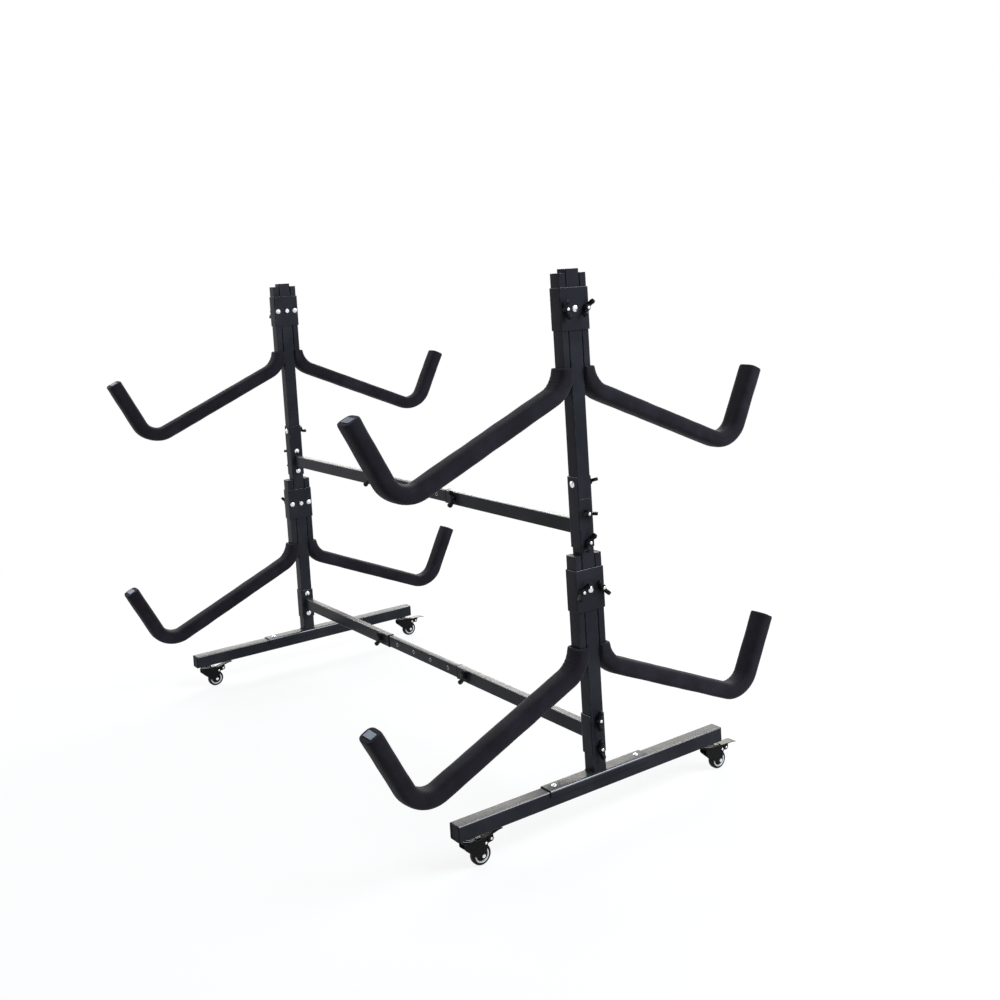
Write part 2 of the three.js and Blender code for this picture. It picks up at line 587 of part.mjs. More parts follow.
// Swivel fork with its stem, race, axle bolt and brake rivet. The swivel axis is Z, the floor z = 0.
function fork() {
  const eye = AXLE_NUT_RADIUS + LEG_PLATE;
  const legEnd = PIVOT_Y + RIVET_HEAD + LEG_PLATE;
  const sixth = Math.PI / 3; // of a full turn
  const legOutline = [
    new THREE.Vector2(-CROWN_FRONT, CROWN_TOP),
    new THREE.Vector2(-CROWN_FRONT, CROWN_UNDERSIDE - LEG_FRONT_DROP),
    new THREE.Vector2(CASTER_TRAIL - LEG_BREADTH, AXLE_HEIGHT + LEG_CORNER_RISE),
    ...arc(CASTER_TRAIL, AXLE_HEIGHT, eye, 4 * sixth, 6 * sixth, EYE_STEPS),
    new THREE.Vector2(legEnd, PIVOT_Z - PIVOT),
    new THREE.Vector2(legEnd, PIVOT_Z + PIVOT),
    new THREE.Vector2(CASTER_TRAIL + LEG_PLATE, CROWN_TOP),
  ];
  const race = RACE_HEIGHT - RACE_GROOVE;
  const groove = RACE_RADIUS - RACE_GROOVE;
  const nut = LEG_OUTSIDE + AXLE_NUT_HEIGHT;
  const rivet = LEG_OUTSIDE + RIVET_RISE;
  const axle = (x) => at(x, CASTER_TRAIL, AXLE_HEIGHT);
  const pivot = (x) => at(x, PIVOT_Y, PIVOT_Z);
  const lowRace = at(0, 0, CROWN_TOP - WELD_SINK);
  const pieces = [
    block(
      at(-LEG_OUTSIDE, -CROWN_FRONT, CROWN_UNDERSIDE),
      at(LEG_OUTSIDE, CASTER_TRAIL, CROWN_TOP),
    ),
    rod(RACE_RADIUS, lowRace, at(0, 0, CROWN_TOP + race / 2), ROUND_SIDES),
    rod(groove, lowRace, at(0, 0, FOOT_UNDERSIDE - SEAT_GAP), ROUND_SIDES),
    rod(STEM / 2, lowRace, at(0, 0, FOOT_UNDERSIDE + STEM_LENGTH)),
    rod(AXLE / 2, axle(-nut), axle(nut)),
    rod(PIVOT / 2, pivot(-rivet), pivot(rivet)),
  ];
  for (const way of [-1, 1]) {
    const plateEdges = [way * LEG_INSIDE, way * LEG_OUTSIDE].sort((a, b) => a - b);
    pieces.push(sidePlate(legOutline, ...plateEdges));
    pieces.push(rod(AXLE_NUT_RADIUS, axle(way * (LEG_OUTSIDE - WELD_SINK)), axle(way * nut), NUT_SIDES));
    pieces.push(rod(RIVET_HEAD, pivot(way * (LEG_OUTSIDE - WELD_SINK)), pivot(way * rivet)));
  }
  return join(pieces);
}

// Brake pedal about its pivot: a folded strip over the wheel whose cheeks hang on the fork's rivet
function brakePedal() {
  const cheekOutside = LEG_INSIDE - SEAT_GAP;
  const cheekInside = cheekOutside - CHEEK_PLATE;
  const under = PEDAL_RISE;
  const top = under + PEDAL_PLATE;
  const lip = PEDAL_LENGTH - PEDAL_LIP;
  const strip = [
    new THREE.Vector2(CHEEK_AFT - PEDAL_PLATE, under),
    new THREE.Vector2(lip, under),
    new THREE.Vector2(PEDAL_LENGTH - PEDAL_PLATE, under - PEDAL_DROOP),
    new THREE.Vector2(PEDAL_LENGTH, under - PEDAL_DROOP),
    new THREE.Vector2(lip + PEDAL_PLATE, top),
    new THREE.Vector2(CHEEK_AFT - PEDAL_PLATE, top),
  ];
  const roof = [
    new THREE.Vector2(-PEDAL_FRONT, under),
    new THREE.Vector2(CHEEK_AFT, under),
    new THREE.Vector2(CHEEK_AFT, top),
    new THREE.Vector2(-PEDAL_FRONT, top),
  ];
  const shoe = [
    new THREE.Vector2(SHOE_AFT, -CHEEK_BELOW),
    new THREE.Vector2(SHOE_AFT + PEDAL_PLATE, -CHEEK_BELOW),
    new THREE.Vector2(SHOE_AFT + PEDAL_PLATE, top),
    new THREE.Vector2(SHOE_AFT, top),
  ];
  const cheek = [
    new THREE.Vector2(-PEDAL_FRONT, top),
    new THREE.Vector2(-PEDAL_FRONT, 0),
    new THREE.Vector2(-CHEEK_BELOW, -CHEEK_BELOW),
    new THREE.Vector2(CHEEK_AFT - CHEEK_BELOW, -CHEEK_BELOW),
    new THREE.Vector2(CHEEK_AFT, 0),
    new THREE.Vector2(CHEEK_AFT, top),
  ];
  const pin = (x) => at(x, SHOE_RIVET_AFT, 0);
  const pinEnd = cheekOutside + RIVET_RISE;
  const pieces = [
    sidePlate(strip, -PEDAL_WIDE / 2, PEDAL_WIDE / 2),
    sidePlate(roof, -cheekOutside, cheekOutside),
    sidePlate(shoe, -cheekOutside, cheekOutside),
    sidePlate(cheek, -cheekOutside, -cheekInside),
    sidePlate(cheek, cheekInside, cheekOutside),
    rod(PIVOT / 2, pin(-pinEnd), pin(pinEnd)),
  ];
  const hole = boltHole(X_AXIS, at(0, 0, 0), cheekOutside, PIVOT + 2 * SEAT_GAP);
  return cut(join(pieces), [hole]);
}

const stand = new THREE.Group();

function addPiece(group, name, solid, material) {
  const mesh = new THREE.Mesh(geometryOf(solid), material);
  mesh.name = name;
  group.add(mesh);
  return mesh;
}

// One wheeled post, its own outer side towards +X; the far one is turned half round
function sideFrame(side) {
  const name = side > 0 ? "near" : "far";
  const frame = new THREE.Group();
  frame.position.x = (side * POST_SPACING) / 2;
  frame.rotation.z = side > 0 ? 0 : Math.PI;
  stand.add(frame);
  addPiece(frame, `${name}_foot`, foot(), coat());
  addPiece(frame, `${name}_lower_post`, lowerPost(), coat());
  addPiece(frame, `${name}_upper_post`, upperPost(), coat());
  addPiece(frame, `${name}_post_insert`, postInsert(), coat());
  addPiece(frame, `${name}_lower_sleeve`, sleeve(side, LOWER_BAR_HEIGHT, BAR_BRACKET_HALF), coat());
  addPiece(frame, `${name}_upper_sleeve`, sleeve(side, UPPER_BAR_HEIGHT, SPLICE_BRACKET_RISE), coat());
  for (const [level, armTop] of [["lower", LOWER_ARM_TOP], ["upper", UPPER_ARM_TOP]]) {
    const armSet = new THREE.Group();
    armSet.position.z = armTop;
    frame.add(armSet);
    addPiece(armSet, `${name}_${level}_arm_bracket`, armBracket(), coat());
    for (const way of [-1, 1]) {
      const hand = way * side > 0 ? "right" : "left";
      const pair = new THREE.Group();
      pair.rotation.z = way > 0 ? 0 : Math.PI;
      armSet.add(pair);
      addPiece(pair, `${name}_${level}_${hand}_arm`, arm(), coat());
      addPiece(pair, `${name}_${level}_${hand}_foam`, foam(), foamSkin());
    }
  }
}

function crossbarTubes() {
  for (const [level, height] of [["lower", LOWER_BAR_HEIGHT], ["upper", UPPER_BAR_HEIGHT]]) {
    const tube = addPiece(stand, `${level}_inner_tube`, innerTube(), coat());
    tube.position.set(INNER_SHIFT, 0, height);
  }
}

function placeBolt(name, solid, seat, axis, turned) {
  const bolt = addPiece(stand, name, solid, knobPlastic());
  const outward = new THREE.Quaternion().setFromUnitVectors(Z_AXIS, axis);
  const spin = new THREE.Quaternion().setFromAxisAngle(Z_AXIS, THREE.MathUtils.degToRad(turned));
  bolt.quaternion.copy(outward.multiply(spin));
  bolt.position.copy(seat);
}

// How far each wing nut happens to be turned, in degrees
const WING_TURNS = {
  near_lower_left_arm_bolt: -45,
  near_lower_right_arm_bolt: 40,
  near_upper_left_arm_bolt: 10,
  near_upper_right_arm_bolt: -40,
  far_lower_left_arm_bolt: -35,
  far_lower_right_arm_bolt: 62,
  far_upper_left_arm_bolt: 15,
  far_upper_right_arm_bolt: -50,
  near_lower_bar_screw: 70,
  far_lower_bar_screw: 100,
  near_upper_bar_screw: 80,
  far_upper_bar_screw: 65,
  near_splice_bolt: 0,
  far_splice_bolt: 12,
};

function wingBolts() {
  const armGrip = 2 * ARM_BRACKET_OUTSIDE + SEAT_GAP;
  const spliceGrip = 2 * CHANNEL_OUTSIDE + SEAT_GAP;
  const screwShank = SLEEVE_WALL + TELESCOPE_GAP - SEAT_GAP;
  for (const side of [1, -1]) {
    const name = side > 0 ? "near" : "far";
    const postX = (side * POST_SPACING) / 2;
    const outward = X_AXIS.clone().multiplyScalar(side);
    for (const [level, armTop] of [["lower", LOWER_ARM_TOP], ["upper", UPPER_ARM_TOP]]) {
      for (const [hand, way] of [["left", -1], ["right", 1]]) {
        const bolt = `${name}_${level}_${hand}_arm_bolt`;
        const seatX = postX + side * ARM_BRACKET_OUTSIDE;
        const seat = at(seatX, way * ARM_OFFSET, armTop - ARM_BOLT_DROP);
        placeBolt(bolt, wingBolt(armGrip, true), seat, outward, WING_TURNS[bolt]);
      }
    }
    for (const [level, height] of [["lower", LOWER_BAR_HEIGHT], ["upper", UPPER_BAR_HEIGHT]]) {
      const screw = `${name}_${level}_bar_screw`;
      const seat = at(screwPlace(side), -SLEEVE_WIDE / 2, height);
      placeBolt(screw, wingBolt(screwShank, false), seat, Y_AXIS.clone().negate(), WING_TURNS[screw]);
    }
    const splice = `${name}_splice_bolt`;
    const seat = at(postX, CHANNEL_OUTSIDE, SPLICE_BOLT_HEIGHT);
    placeBolt(splice, wingBolt(spliceGrip, true), seat, Y_AXIS, WING_TURNS[splice]);
  }
}

// Four casters, all trailing towards +Y
function casters() {
  for (const side of [1, -1]) {
    for (const way of [-1, 1]) {
      const name = `${side > 0 ? "near" : "far"}_${way > 0 ? "right" : "left"}`;
      const caster = new THREE.Group();
      caster.position.set((side * POST_SPACING) / 2, way * CASTER_OFFSET, 0);
      stand.add(caster);
      addPiece(caster, `${name}_fork`, fork(), forkSteel());
      const rolling = addPiece(caster, `${name}_wheel`, wheel(), tyre());
      rolling.position.set(0, CASTER_TRAIL, AXLE_HEIGHT);
      const pedal = addPiece(caster, `${name}_brake_pedal`, brakePedal(), zincPlate());
      pedal.position.set(0, PIVOT_Y, PIVOT_Z);
      pedal.rotation.x = way > 0 ? 0 : THREE.MathUtils.degToRad(LEFT_PEDAL_LIFT);
    }
  }
}

sideFrame(1);
sideFrame(-1);
crossbarTubes();
wingBolts();
casters();

export default stand;
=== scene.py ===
# %% [markdown]
# # A wheeled kayak rack, dressed for its portrait
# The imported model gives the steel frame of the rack: two posts on wheeled feet, two telescoping
# crossbars and eight bent arms. This notebook adds what the eye looks for: soft foam over the
# arms, moulded wing nuts, plated bolts, turned wheels and a powder coat that catches the light.
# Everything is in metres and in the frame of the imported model, so no piece needs fitting.

import json
import math

import bmesh
import bpy
from mathutils import Matrix, Quaternion, Vector, noise

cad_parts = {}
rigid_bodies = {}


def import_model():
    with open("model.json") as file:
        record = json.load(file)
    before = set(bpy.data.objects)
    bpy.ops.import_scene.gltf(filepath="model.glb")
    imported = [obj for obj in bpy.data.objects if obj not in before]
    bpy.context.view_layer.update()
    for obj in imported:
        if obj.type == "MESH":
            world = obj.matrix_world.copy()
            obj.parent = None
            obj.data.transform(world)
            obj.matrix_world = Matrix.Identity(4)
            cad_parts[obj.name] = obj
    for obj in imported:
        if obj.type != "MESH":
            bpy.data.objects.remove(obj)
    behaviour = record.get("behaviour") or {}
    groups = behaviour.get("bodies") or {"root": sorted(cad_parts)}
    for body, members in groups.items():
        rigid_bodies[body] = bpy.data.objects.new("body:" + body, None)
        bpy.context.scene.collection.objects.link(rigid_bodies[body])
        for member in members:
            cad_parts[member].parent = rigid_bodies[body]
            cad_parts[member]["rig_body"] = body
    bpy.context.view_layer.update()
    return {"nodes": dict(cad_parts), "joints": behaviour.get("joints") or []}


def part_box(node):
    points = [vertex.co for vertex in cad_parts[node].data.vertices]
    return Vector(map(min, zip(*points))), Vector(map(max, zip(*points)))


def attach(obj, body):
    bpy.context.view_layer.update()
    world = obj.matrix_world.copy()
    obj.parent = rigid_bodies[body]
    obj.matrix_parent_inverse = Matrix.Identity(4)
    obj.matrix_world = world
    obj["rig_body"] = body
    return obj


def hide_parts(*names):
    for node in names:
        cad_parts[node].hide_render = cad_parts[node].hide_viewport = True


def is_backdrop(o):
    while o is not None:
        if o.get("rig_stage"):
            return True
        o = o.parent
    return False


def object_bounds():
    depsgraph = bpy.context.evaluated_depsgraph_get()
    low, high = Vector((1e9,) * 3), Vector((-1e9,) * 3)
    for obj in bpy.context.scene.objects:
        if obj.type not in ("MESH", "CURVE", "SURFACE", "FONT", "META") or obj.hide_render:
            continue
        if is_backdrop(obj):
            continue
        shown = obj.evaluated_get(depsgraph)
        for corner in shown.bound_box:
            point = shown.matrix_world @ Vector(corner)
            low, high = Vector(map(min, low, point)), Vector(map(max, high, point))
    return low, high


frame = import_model()

# %% [markdown]
# ## The camera
# The rack is seen from its right front at chest height. The lens and the place were solved from
# the straight edges of the feet, posts and crossbars. The picture was cropped off centre, and a
# lens shift gives the same framing without turning the camera, so upright posts keep their lean.

# %% Place the camera
AZIMUTH = math.radians(52.4277)
ELEVATION = math.radians(4.1198)
ROLL = math.radians(-3.1592)
CAMERA_PLACE = Vector((3.14099, -1.68502, 1.34497))
SENSOR = 36.0
LENS_SHARE = 1.19906  # focal length as a share of the picture's width
SHIFT = (-0.10016, -0.14847)


def camera_turn():
    level = math.cos(ELEVATION)
    ahead = Vector((-math.sin(AZIMUTH) * level, math.cos(AZIMUTH) * level, -math.sin(ELEVATION)))
    right = ahead.cross(Vector((0, 0, 1))).normalized()
    up = right.cross(ahead)
    rolled_right = right * math.cos(ROLL) + up * math.sin(ROLL)
    rolled_up = up * math.cos(ROLL) - right * math.sin(ROLL)
    return Matrix((rolled_right, rolled_up, -ahead)).transposed()


camera = bpy.data.objects.new("camera", bpy.data.cameras.new("camera"))
camera.matrix_world = Matrix.Translation(CAMERA_PLACE) @ camera_turn().to_4x4()
camera.data.sensor_width = SENSOR
camera.data.lens = SENSOR * LENS_SHARE
camera.data.shift_x, camera.data.shift_y = SHIFT
bpy.context.scene.collection.objects.link(camera)
bpy.context.scene.camera = camera
print("lens", round(camera.data.lens, 2), "mm")

# %% [markdown]
# ## Shader values as arithmetic
# A procedural finish is a small formula: a base colour, a little noise, a mask for dust. Nodes
# can be wired one by one, but a formula reads better as Python. The class Wire wraps one output
# socket, and its operators add Math nodes. The method node of Wiring makes every other kind of
# node, and Finish is the wiring of one material.


# %% Wrap sockets so that formulas add nodes
class Wire:
    """One output of a node; sums, differences and products of wires are Math nodes."""

    def __init__(self, wiring, socket):
        self.wiring = wiring
        self.socket = socket

    def _math(self, operation, left, right):
        return self.wiring.node("Math", {"operation": operation}, {0: left, 1: right})

    def __add__(self, other):
        return self._math("ADD", self, other)

    __radd__ = __add__

    def __mul__(self, other):
        return self._math("MULTIPLY", self, other)

    __rmul__ = __mul__

    def __sub__(self, other):
        return self._math("SUBTRACT", self, other)

    def __rsub__(self, other):
        return self._math("SUBTRACT", other, self)

    def __pow__(self, other):
        return self._math("POWER", self, other)


class Wiring:
    """A tree of nodes, of a material or of the world."""

    def __init__(self, tree):
        self.tree = tree

    def plug(self, target, value):
        if isinstance(value, Wire):
            self.tree.links.new(value.socket, target)
        else:
            target.default_value = value

    def node(self, kind, settings=None, inputs=None, output=0):
        """Any node by its type, with its settings, its inputs and the output that is used."""
        made = self.tree.nodes.new("ShaderNode" + kind)
        for key, value in (settings or {}).items():
            setattr(made, key, value)
        for key, value in (inputs or {}).items():
            self.plug(made.inputs[key], value)
        return Wire(self, made.outputs[output])

    def show(self, output_node, surface):
        self.plug(self.tree.nodes[output_node].inputs["Surface"], surface)

    def rays(self, *kinds):
        """1 for a ray of any of these kinds, and 0 for all other rays."""
        return sum(self.node("LightPath", output=f"Is {kind} Ray") for kind in kinds)


class Finish(Wiring):
    """A material. Settings that are the same all over go straight on the shader's sockets."""

    def __init__(self, name, slot=None, **everywhere):
        self.material = bpy.data.materials.new(name)
        self.material.use_nodes = True
        super().__init__(self.material.node_tree)
        self.shader = self.tree.nodes["Principled BSDF"]
        self.slot = slot
        for socket, value in everywhere.items():
            self.shader.inputs[socket.replace("_", " ")].default_value = value
        self.place = self.node("TexCoord", output="Object")

    def feed(self, **sockets):
        for socket, value in sockets.items():
            self.plug(self.shader.inputs[socket.replace("_", " ")], value)

    def mixed(self, mask, first, second):
        """Colour first where the mask is 0 and second where it is 1."""
        return self.node("Mix", {"data_type": "RGBA"}, {0: mask, 6: first, 7: second}, output=2)

    def noise(self, scale, detail=2.0, stretch=None, roughness=0.5):
        """Noise from 0 to 1 with features about 1 / scale metres wide."""
        place = self.place
        if stretch:
            place = self.node("Mapping", {}, {"Vector": self.place, "Scale": stretch})
        inputs = {"Vector": place, "Scale": scale, "Detail": detail, "Roughness": roughness}
        return self.node("TexNoise", {}, inputs)

    def step(self, value, low, high):
        """A smooth step: 0 below low, 1 above high."""
        settings = {"interpolation_type": "SMOOTHSTEP"}
        return self.node("MapRange", settings, {"Value": value, "From Min": low, "From Max": high})

    def bumped(self, height, depth):
        """A normal from a height map whose whole range is depth metres."""
        return self.node("Bump", {}, {"Strength": 1.0, "Distance": depth, "Height": height})


def facing_up(finish, low=0.6, high=0.95):
    """1 where a face looks up, fading in while its normal's height goes from low to high."""
    normal = finish.node("NewGeometry", output="True Normal")
    return finish.step(finish.node("SeparateXYZ", {}, {0: normal}, output="Z"), low, high)


# %% [markdown]
# ## Powder coat
# The frame is steel sprayed with charcoal powder and baked. The powder melts into a satin skin
# with a faint orange peel. Bent and broken edges get a patchy painted highlight, pale and bluish,
# and flat tops get a patchy beige that is partly a breath of dust and partly a painted sheen of
# the light that they catch. The powder flows out smoothest along upper edges, so a thin clear
# layer on those draws the cool line that follows them. A lower roughness would sharpen the flats
# too.

# %% Mix the powder coat
CHARCOAL = (0.0145, 0.0145, 0.0185, 1)
CHARCOAL_PALE = (0.022, 0.022, 0.027, 1)
# A pale bluish tint laid in patches along rounded and broken edges: a painted highlight
EDGE_HIGHLIGHT_TINT = (0.05, 0.053, 0.062, 1)
# A beige for the tops of the frame: partly a breath of dust, partly a painted sheen of the light
# they catch
DUST_AND_SHEEN_TINT = (0.17, 0.16, 0.135, 1)
DUST_AND_SHEEN_SHARE = 0.22
EDGE_HIGHLIGHT_SHARE = 0.4
EDGE_CLEAR = 0.7  # weight of the clear layer on an upper edge
EDGE_SLOPES = (0.1, 0.35)  # it starts on faces that look up only a little
PEEL_DEPTH = 0.00007


def powder_coat(name):
    coat = Finish(name, "coat", Specular_IOR_Level=0.05, Coat_Roughness=0.2, Coat_IOR=1.9)
    clouds = coat.noise(9.0, 3.0)
    peel = coat.noise(620.0, 2.0)
    speck = coat.noise(2600.0, 1.0)
    edge = coat.node("Attribute", {"attribute_name": "edge"}, output="Fac")
    # Patchy beige on faces that look up: partly dust, partly a painted sheen
    dust_and_sheen = facing_up(coat) * coat.step(coat.noise(34.0, 4.0, roughness=0.7), 0.3, 0.8)
    body = coat.mixed(coat.step(clouds, 0.35, 0.7), CHARCOAL, CHARCOAL_PALE)
    # A painted highlight: the pale bluish tint in patches along the edges
    painted_edge_highlight = edge * coat.step(coat.noise(60.0), 0.35, 0.75) * EDGE_HIGHLIGHT_SHARE
    coat.feed(
        Base_Color=coat.mixed(dust_and_sheen * DUST_AND_SHEEN_SHARE, coat.mixed(painted_edge_highlight, body, EDGE_HIGHLIGHT_TINT), DUST_AND_SHEEN_TINT),
        Roughness=0.24 + clouds * 0.08 + speck * 0.04 + dust_and_sheen * 0.1,
        Coat_Weight=edge**4 * facing_up(coat, *EDGE_SLOPES) * EDGE_CLEAR,
        Normal=coat.bumped(peel * 0.8 + speck * 0.2, PEEL_DEPTH),
    )
    return coat


coat = powder_coat("powder_coat")

# %% [markdown]
# ## Foam skin
# The sleeves are closed-cell foam tube, nearly black, with a dry skin full of tiny pores. It has
# no gloss to speak of, only a soft lift where light grazes it. Voronoi cells give the pores, a
# broad noise gives the handling marks, and a constant sheen gives the lift.

# %% Mix the foam skin
FOAM_BLACK = (0.0062, 0.0052, 0.0072, 1)
FOAM_WORN = (0.018, 0.0152, 0.022, 1)
PORES_PER_METRE = 820.0
SKIN_DEPTH = 0.00035

foam_skin = Finish(
    "foam_skin", "foam", Sheen_Weight=0.05, Sheen_Roughness=0.5, Specular_IOR_Level=0.07
)
cells = {"Vector": foam_skin.place, "Scale": PORES_PER_METRE}
pores = foam_skin.node("TexVoronoi", {}, cells, output="Distance")
handled = foam_skin.step(foam_skin.noise(14.0, 4.0, roughness=0.6), 0.35, 0.75)
creases = foam_skin.noise(70.0, 3.0)
foam_skin.feed(
    Base_Color=foam_skin.mixed(handled * 0.8 + creases * 0.2, FOAM_BLACK, FOAM_WORN),
    Roughness=0.74 + handled * 0.12,
    Normal=foam_skin.bumped(pores * 0.45 + creases * 0.55, SKIN_DEPTH),
)

# %% [markdown]
# ## Plastics, rubber and plated steel
# The small parts need two more recipes. Moulded serves the black plastic of wing nuts and caps,
# the slate blue plugs in the arm tips, the tyres, their pale rings and the paint of the forks.
# Plated serves the bright zinc of bolts and the duller zinc of the casters' tabs and pedals.


# %% Mix the small finishes
GRAIN_DEPTH = 0.00005
STREAK_DEPTH = 0.00004


def moulded(name, slot, dark, pale, roughness, specular=0.5):
    plastic = Finish(name, slot, Specular_IOR_Level=specular)
    cloud = plastic.noise(160.0, 3.0)
    grain = plastic.noise(2400.0, 2.0)
    plastic.feed(
        Base_Color=plastic.mixed(plastic.step(cloud, 0.3, 0.7), (*dark, 1), (*pale, 1)),
        Roughness=roughness + cloud * 0.08 + grain * 0.06,
        Normal=plastic.bumped(grain * 0.7 + cloud * 0.3, GRAIN_DEPTH),
    )
    return plastic


def plated(name, dark, pale, roughness, brushed):
    metal = Finish(name, "zinc")
    streaks = metal.noise(240.0, 3.0, stretch=brushed)
    blotch = metal.noise(90.0, 3.0)
    metal.feed(
        Base_Color=metal.mixed(metal.step(blotch, 0.3, 0.7), (*dark, 1), (*pale, 1)),
        Metallic=1.0 - blotch * 0.06,
        Roughness=roughness + streaks * 0.1 + blotch * 0.08,
        Normal=metal.bumped(streaks, STREAK_DEPTH),
    )
    return metal


knob = moulded(
    "wing_nut_plastic", "knob", (0.0026, 0.0026, 0.0034), (0.0045, 0.0045, 0.006), 0.38, 0.1
)
cap_plastic = moulded(
    "cap_plastic", "knob", (0.007, 0.007, 0.0095), (0.012, 0.012, 0.0155), 0.48, 0.06
)
plug_plastic = moulded("tip_plug_plastic", "knob", (0.088, 0.11, 0.155), (0.12, 0.145, 0.195), 0.38)
tyre_rubber = moulded(
    "tyre_rubber", "tyre", (0.0036, 0.0035, 0.0038), (0.0068, 0.0066, 0.0066), 0.46, 0.1
)
hub_plastic = moulded("hub_ring_plastic", "tyre", (0.42, 0.43, 0.42), (0.6, 0.61, 0.6), 0.3)
fork_colours = (0.0028, 0.0024, 0.0028), (0.0052, 0.0046, 0.005)
fork_paint = moulded("fork_paint", "fork_steel", *fork_colours, 0.36, 0.08)
PLAIN, BRUSHED = (1, 1, 1), (6, 1, 6)
bright_zinc = plated("bright_zinc", (0.62, 0.63, 0.64), (0.78, 0.79, 0.8), 0.14, PLAIN)
dull_zinc = plated("dull_zinc", (0.02, 0.0193, 0.0156), (0.031, 0.0298, 0.0248), 0.33, BRUSHED)
pedal_zinc = plated("pedal_zinc", (0.013, 0.0125, 0.0105), (0.02, 0.019, 0.016), 0.33, BRUSHED)
fork_edge = fork_paint.node("Attribute", {"attribute_name": "edge"}, output="Fac")
fork_paint.feed(Coat_Weight=fork_edge * facing_up(fork_paint, *EDGE_SLOPES))
print("finishes", len(bpy.data.materials))

# %% [markdown]
# ## Making meshes
# Every shape here starts as one of three kinds: rings skinned one after the other, a profile
# turned about an axis, or a flat plate cut to an outline. Primitives from the menu would be
# quicker, but rings give even quads and exact sizes. A bevel then breaks each hard edge, as paint
# and moulds do, and marks the new faces in the attribute edge, where the coat looks for them.


# %% Helpers that make bmeshes
def skinned(rings, wrap=False):
    """Rings of equal length joined into one closed skin; wrap joins the last to the first."""
    bm = bmesh.new()
    loops = [[bm.verts.new(point) for point in ring] for ring in rings]
    pairs = list(zip(loops, loops[1:])) + ([(loops[-1], loops[0])] if wrap else [])
    for one, two in pairs:
        for i in range(len(one)):
            j = (i + 1) % len(one)
            bm.faces.new((one[i], one[j], two[j], two[i]))
    if not wrap:
        bm.faces.new(loops[0])
        bm.faces.new(loops[-1])
    bmesh.ops.recalc_face_normals(bm, faces=bm.faces)
    return bm


def turned(profile, sides, wrap=False):
    """A profile of (radius, height) turned about Z."""
    angles = [math.tau * i / sides for i in range(sides)]
    rings = [[(r * math.cos(a), r * math.sin(a), z) for a in angles] for r, z in profile]
    return skinned(rings, wrap)


def plate(outline, low, high):
    """A flat outline in X and Y from z = low to z = high."""
    return skinned([[(x, y, z) for x, y in outline] for z in (low, high)])


def arc_points(centre, radius, start, end, steps):
    """Points of an arc between two angles in degrees."""
    points = []
    for i in range(steps + 1):
        angle = math.radians(start + (end - start) * i / steps)
        points.append((centre[0] + radius * math.cos(angle), centre[1] + radius * math.sin(angle)))
    return points


def rounded_rectangle(width, height, radius, steps=5):
    points = []
    for quarter, (right, up) in enumerate(((1, 1), (-1, 1), (-1, -1), (1, -1))):
        centre = (right * (width / 2 - radius), up * (height / 2 - radius))
        points += arc_points(centre, radius, 90 * quarter, 90 * quarter + 90, steps)
    return points


BROKEN_SHARE = 0.25  # the attribute edge on a broken edge, where a rounded corner has 1
HARD_ANGLE = math.radians(50)


def broken(bm, width, segments=2):
    """Hard edges bevelled, the new faces marked in the attribute edge."""
    edge_layer = bm.faces.layers.float.new("edge")
    hard = [e for e in bm.edges if len(e.link_faces) == 2 and e.calc_face_angle() > HARD_ANGLE]
    made = bmesh.ops.bevel(
        bm, geom=hard, offset=width, segments=segments,
        profile=0.5, affect="EDGES", clamp_overlap=True,
    )
    for face in made["faces"]:
        face[edge_layer] = BROKEN_SHARE
    return bm


def joined(*parts):
    whole = bmesh.new()
    for part in parts:
        held = bpy.data.meshes.new("held")
        part.to_mesh(held)
        whole.from_mesh(held)
        bpy.data.meshes.remove(held)
    return whole


def moved(bm, matrix):
    bm.transform(matrix)
    return bm


# %% [markdown]
# ## Putting a piece in its place
# A piece needs a mesh, a finish and a body to ride on. Repeated pieces share one mesh, and only
# their object's matrix differs, which keeps the file light. Flat faces stay flat through
# weighted normals, while rounded corners shade smoothly.


# %% Helpers that place pieces
def meshed(name, bm, smooth_below=40):
    mesh = bpy.data.meshes.new(name)
    bm.to_mesh(mesh)
    bm.free()
    mesh.shade_smooth()
    mesh.set_sharp_from_angle(angle=math.radians(smooth_below))
    return mesh


def put(name, mesh, finish, body, matrix=None, stands_for=(), weighted=True):
    """A piece that rides on a body; stands_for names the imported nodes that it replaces."""
    piece = bpy.data.objects.new(name, mesh)
    bpy.context.scene.collection.objects.link(piece)
    if not mesh.materials:
        mesh.materials.append(finish.material)
    if matrix is not None:
        piece.matrix_world = matrix
    if weighted:
        piece.modifiers.new("flat_faces_stay_flat", "WEIGHTED_NORMAL").keep_sharp = True
    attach(piece, body)
    if stands_for:
        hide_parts(*stands_for)
    return piece


def to(x, y, z):
    """The move to a place."""
    return Matrix.Translation((x, y, z))


def pieces_named(*words):
    """How many pieces have one of these words in their names."""
    return sum(any(word in piece.name for word in words) for piece in bpy.data.objects)


# %% [markdown]
# ## The steel frame
# Feet, posts, sleeves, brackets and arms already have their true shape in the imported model, but
# machine-sharp edges look like cardboard. Each is copied, its triangles are merged back into
# flat faces, and its edges are broken by about half a millimetre. Modelling them all again would
# risk a hole that no longer meets its bolt.

# %% Break the edges of the steel pieces
STEEL_EDGE = 0.0006
SAME_POINT = 0.00001
SAME_FACE = math.radians(0.6)
ASKEW = 0.97  # a normal is askew when none of its parts reaches this
ARM_ASKEW = (0.2, 0.95)  # the range of its part along X on an arm's corners


def body_of(node):
    return frame["nodes"][node]["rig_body"]


def on_corner(node, normal):
    """Whether a face looks askew, as the corner of a tube or the bend of a plate does."""
    if node.endswith("_arm"):  # its tube slopes in Y and Z, so only X tells
        return ARM_ASKEW[0] < abs(normal.x) < ARM_ASKEW[1]
    return max(abs(part) for part in normal) < ASKEW


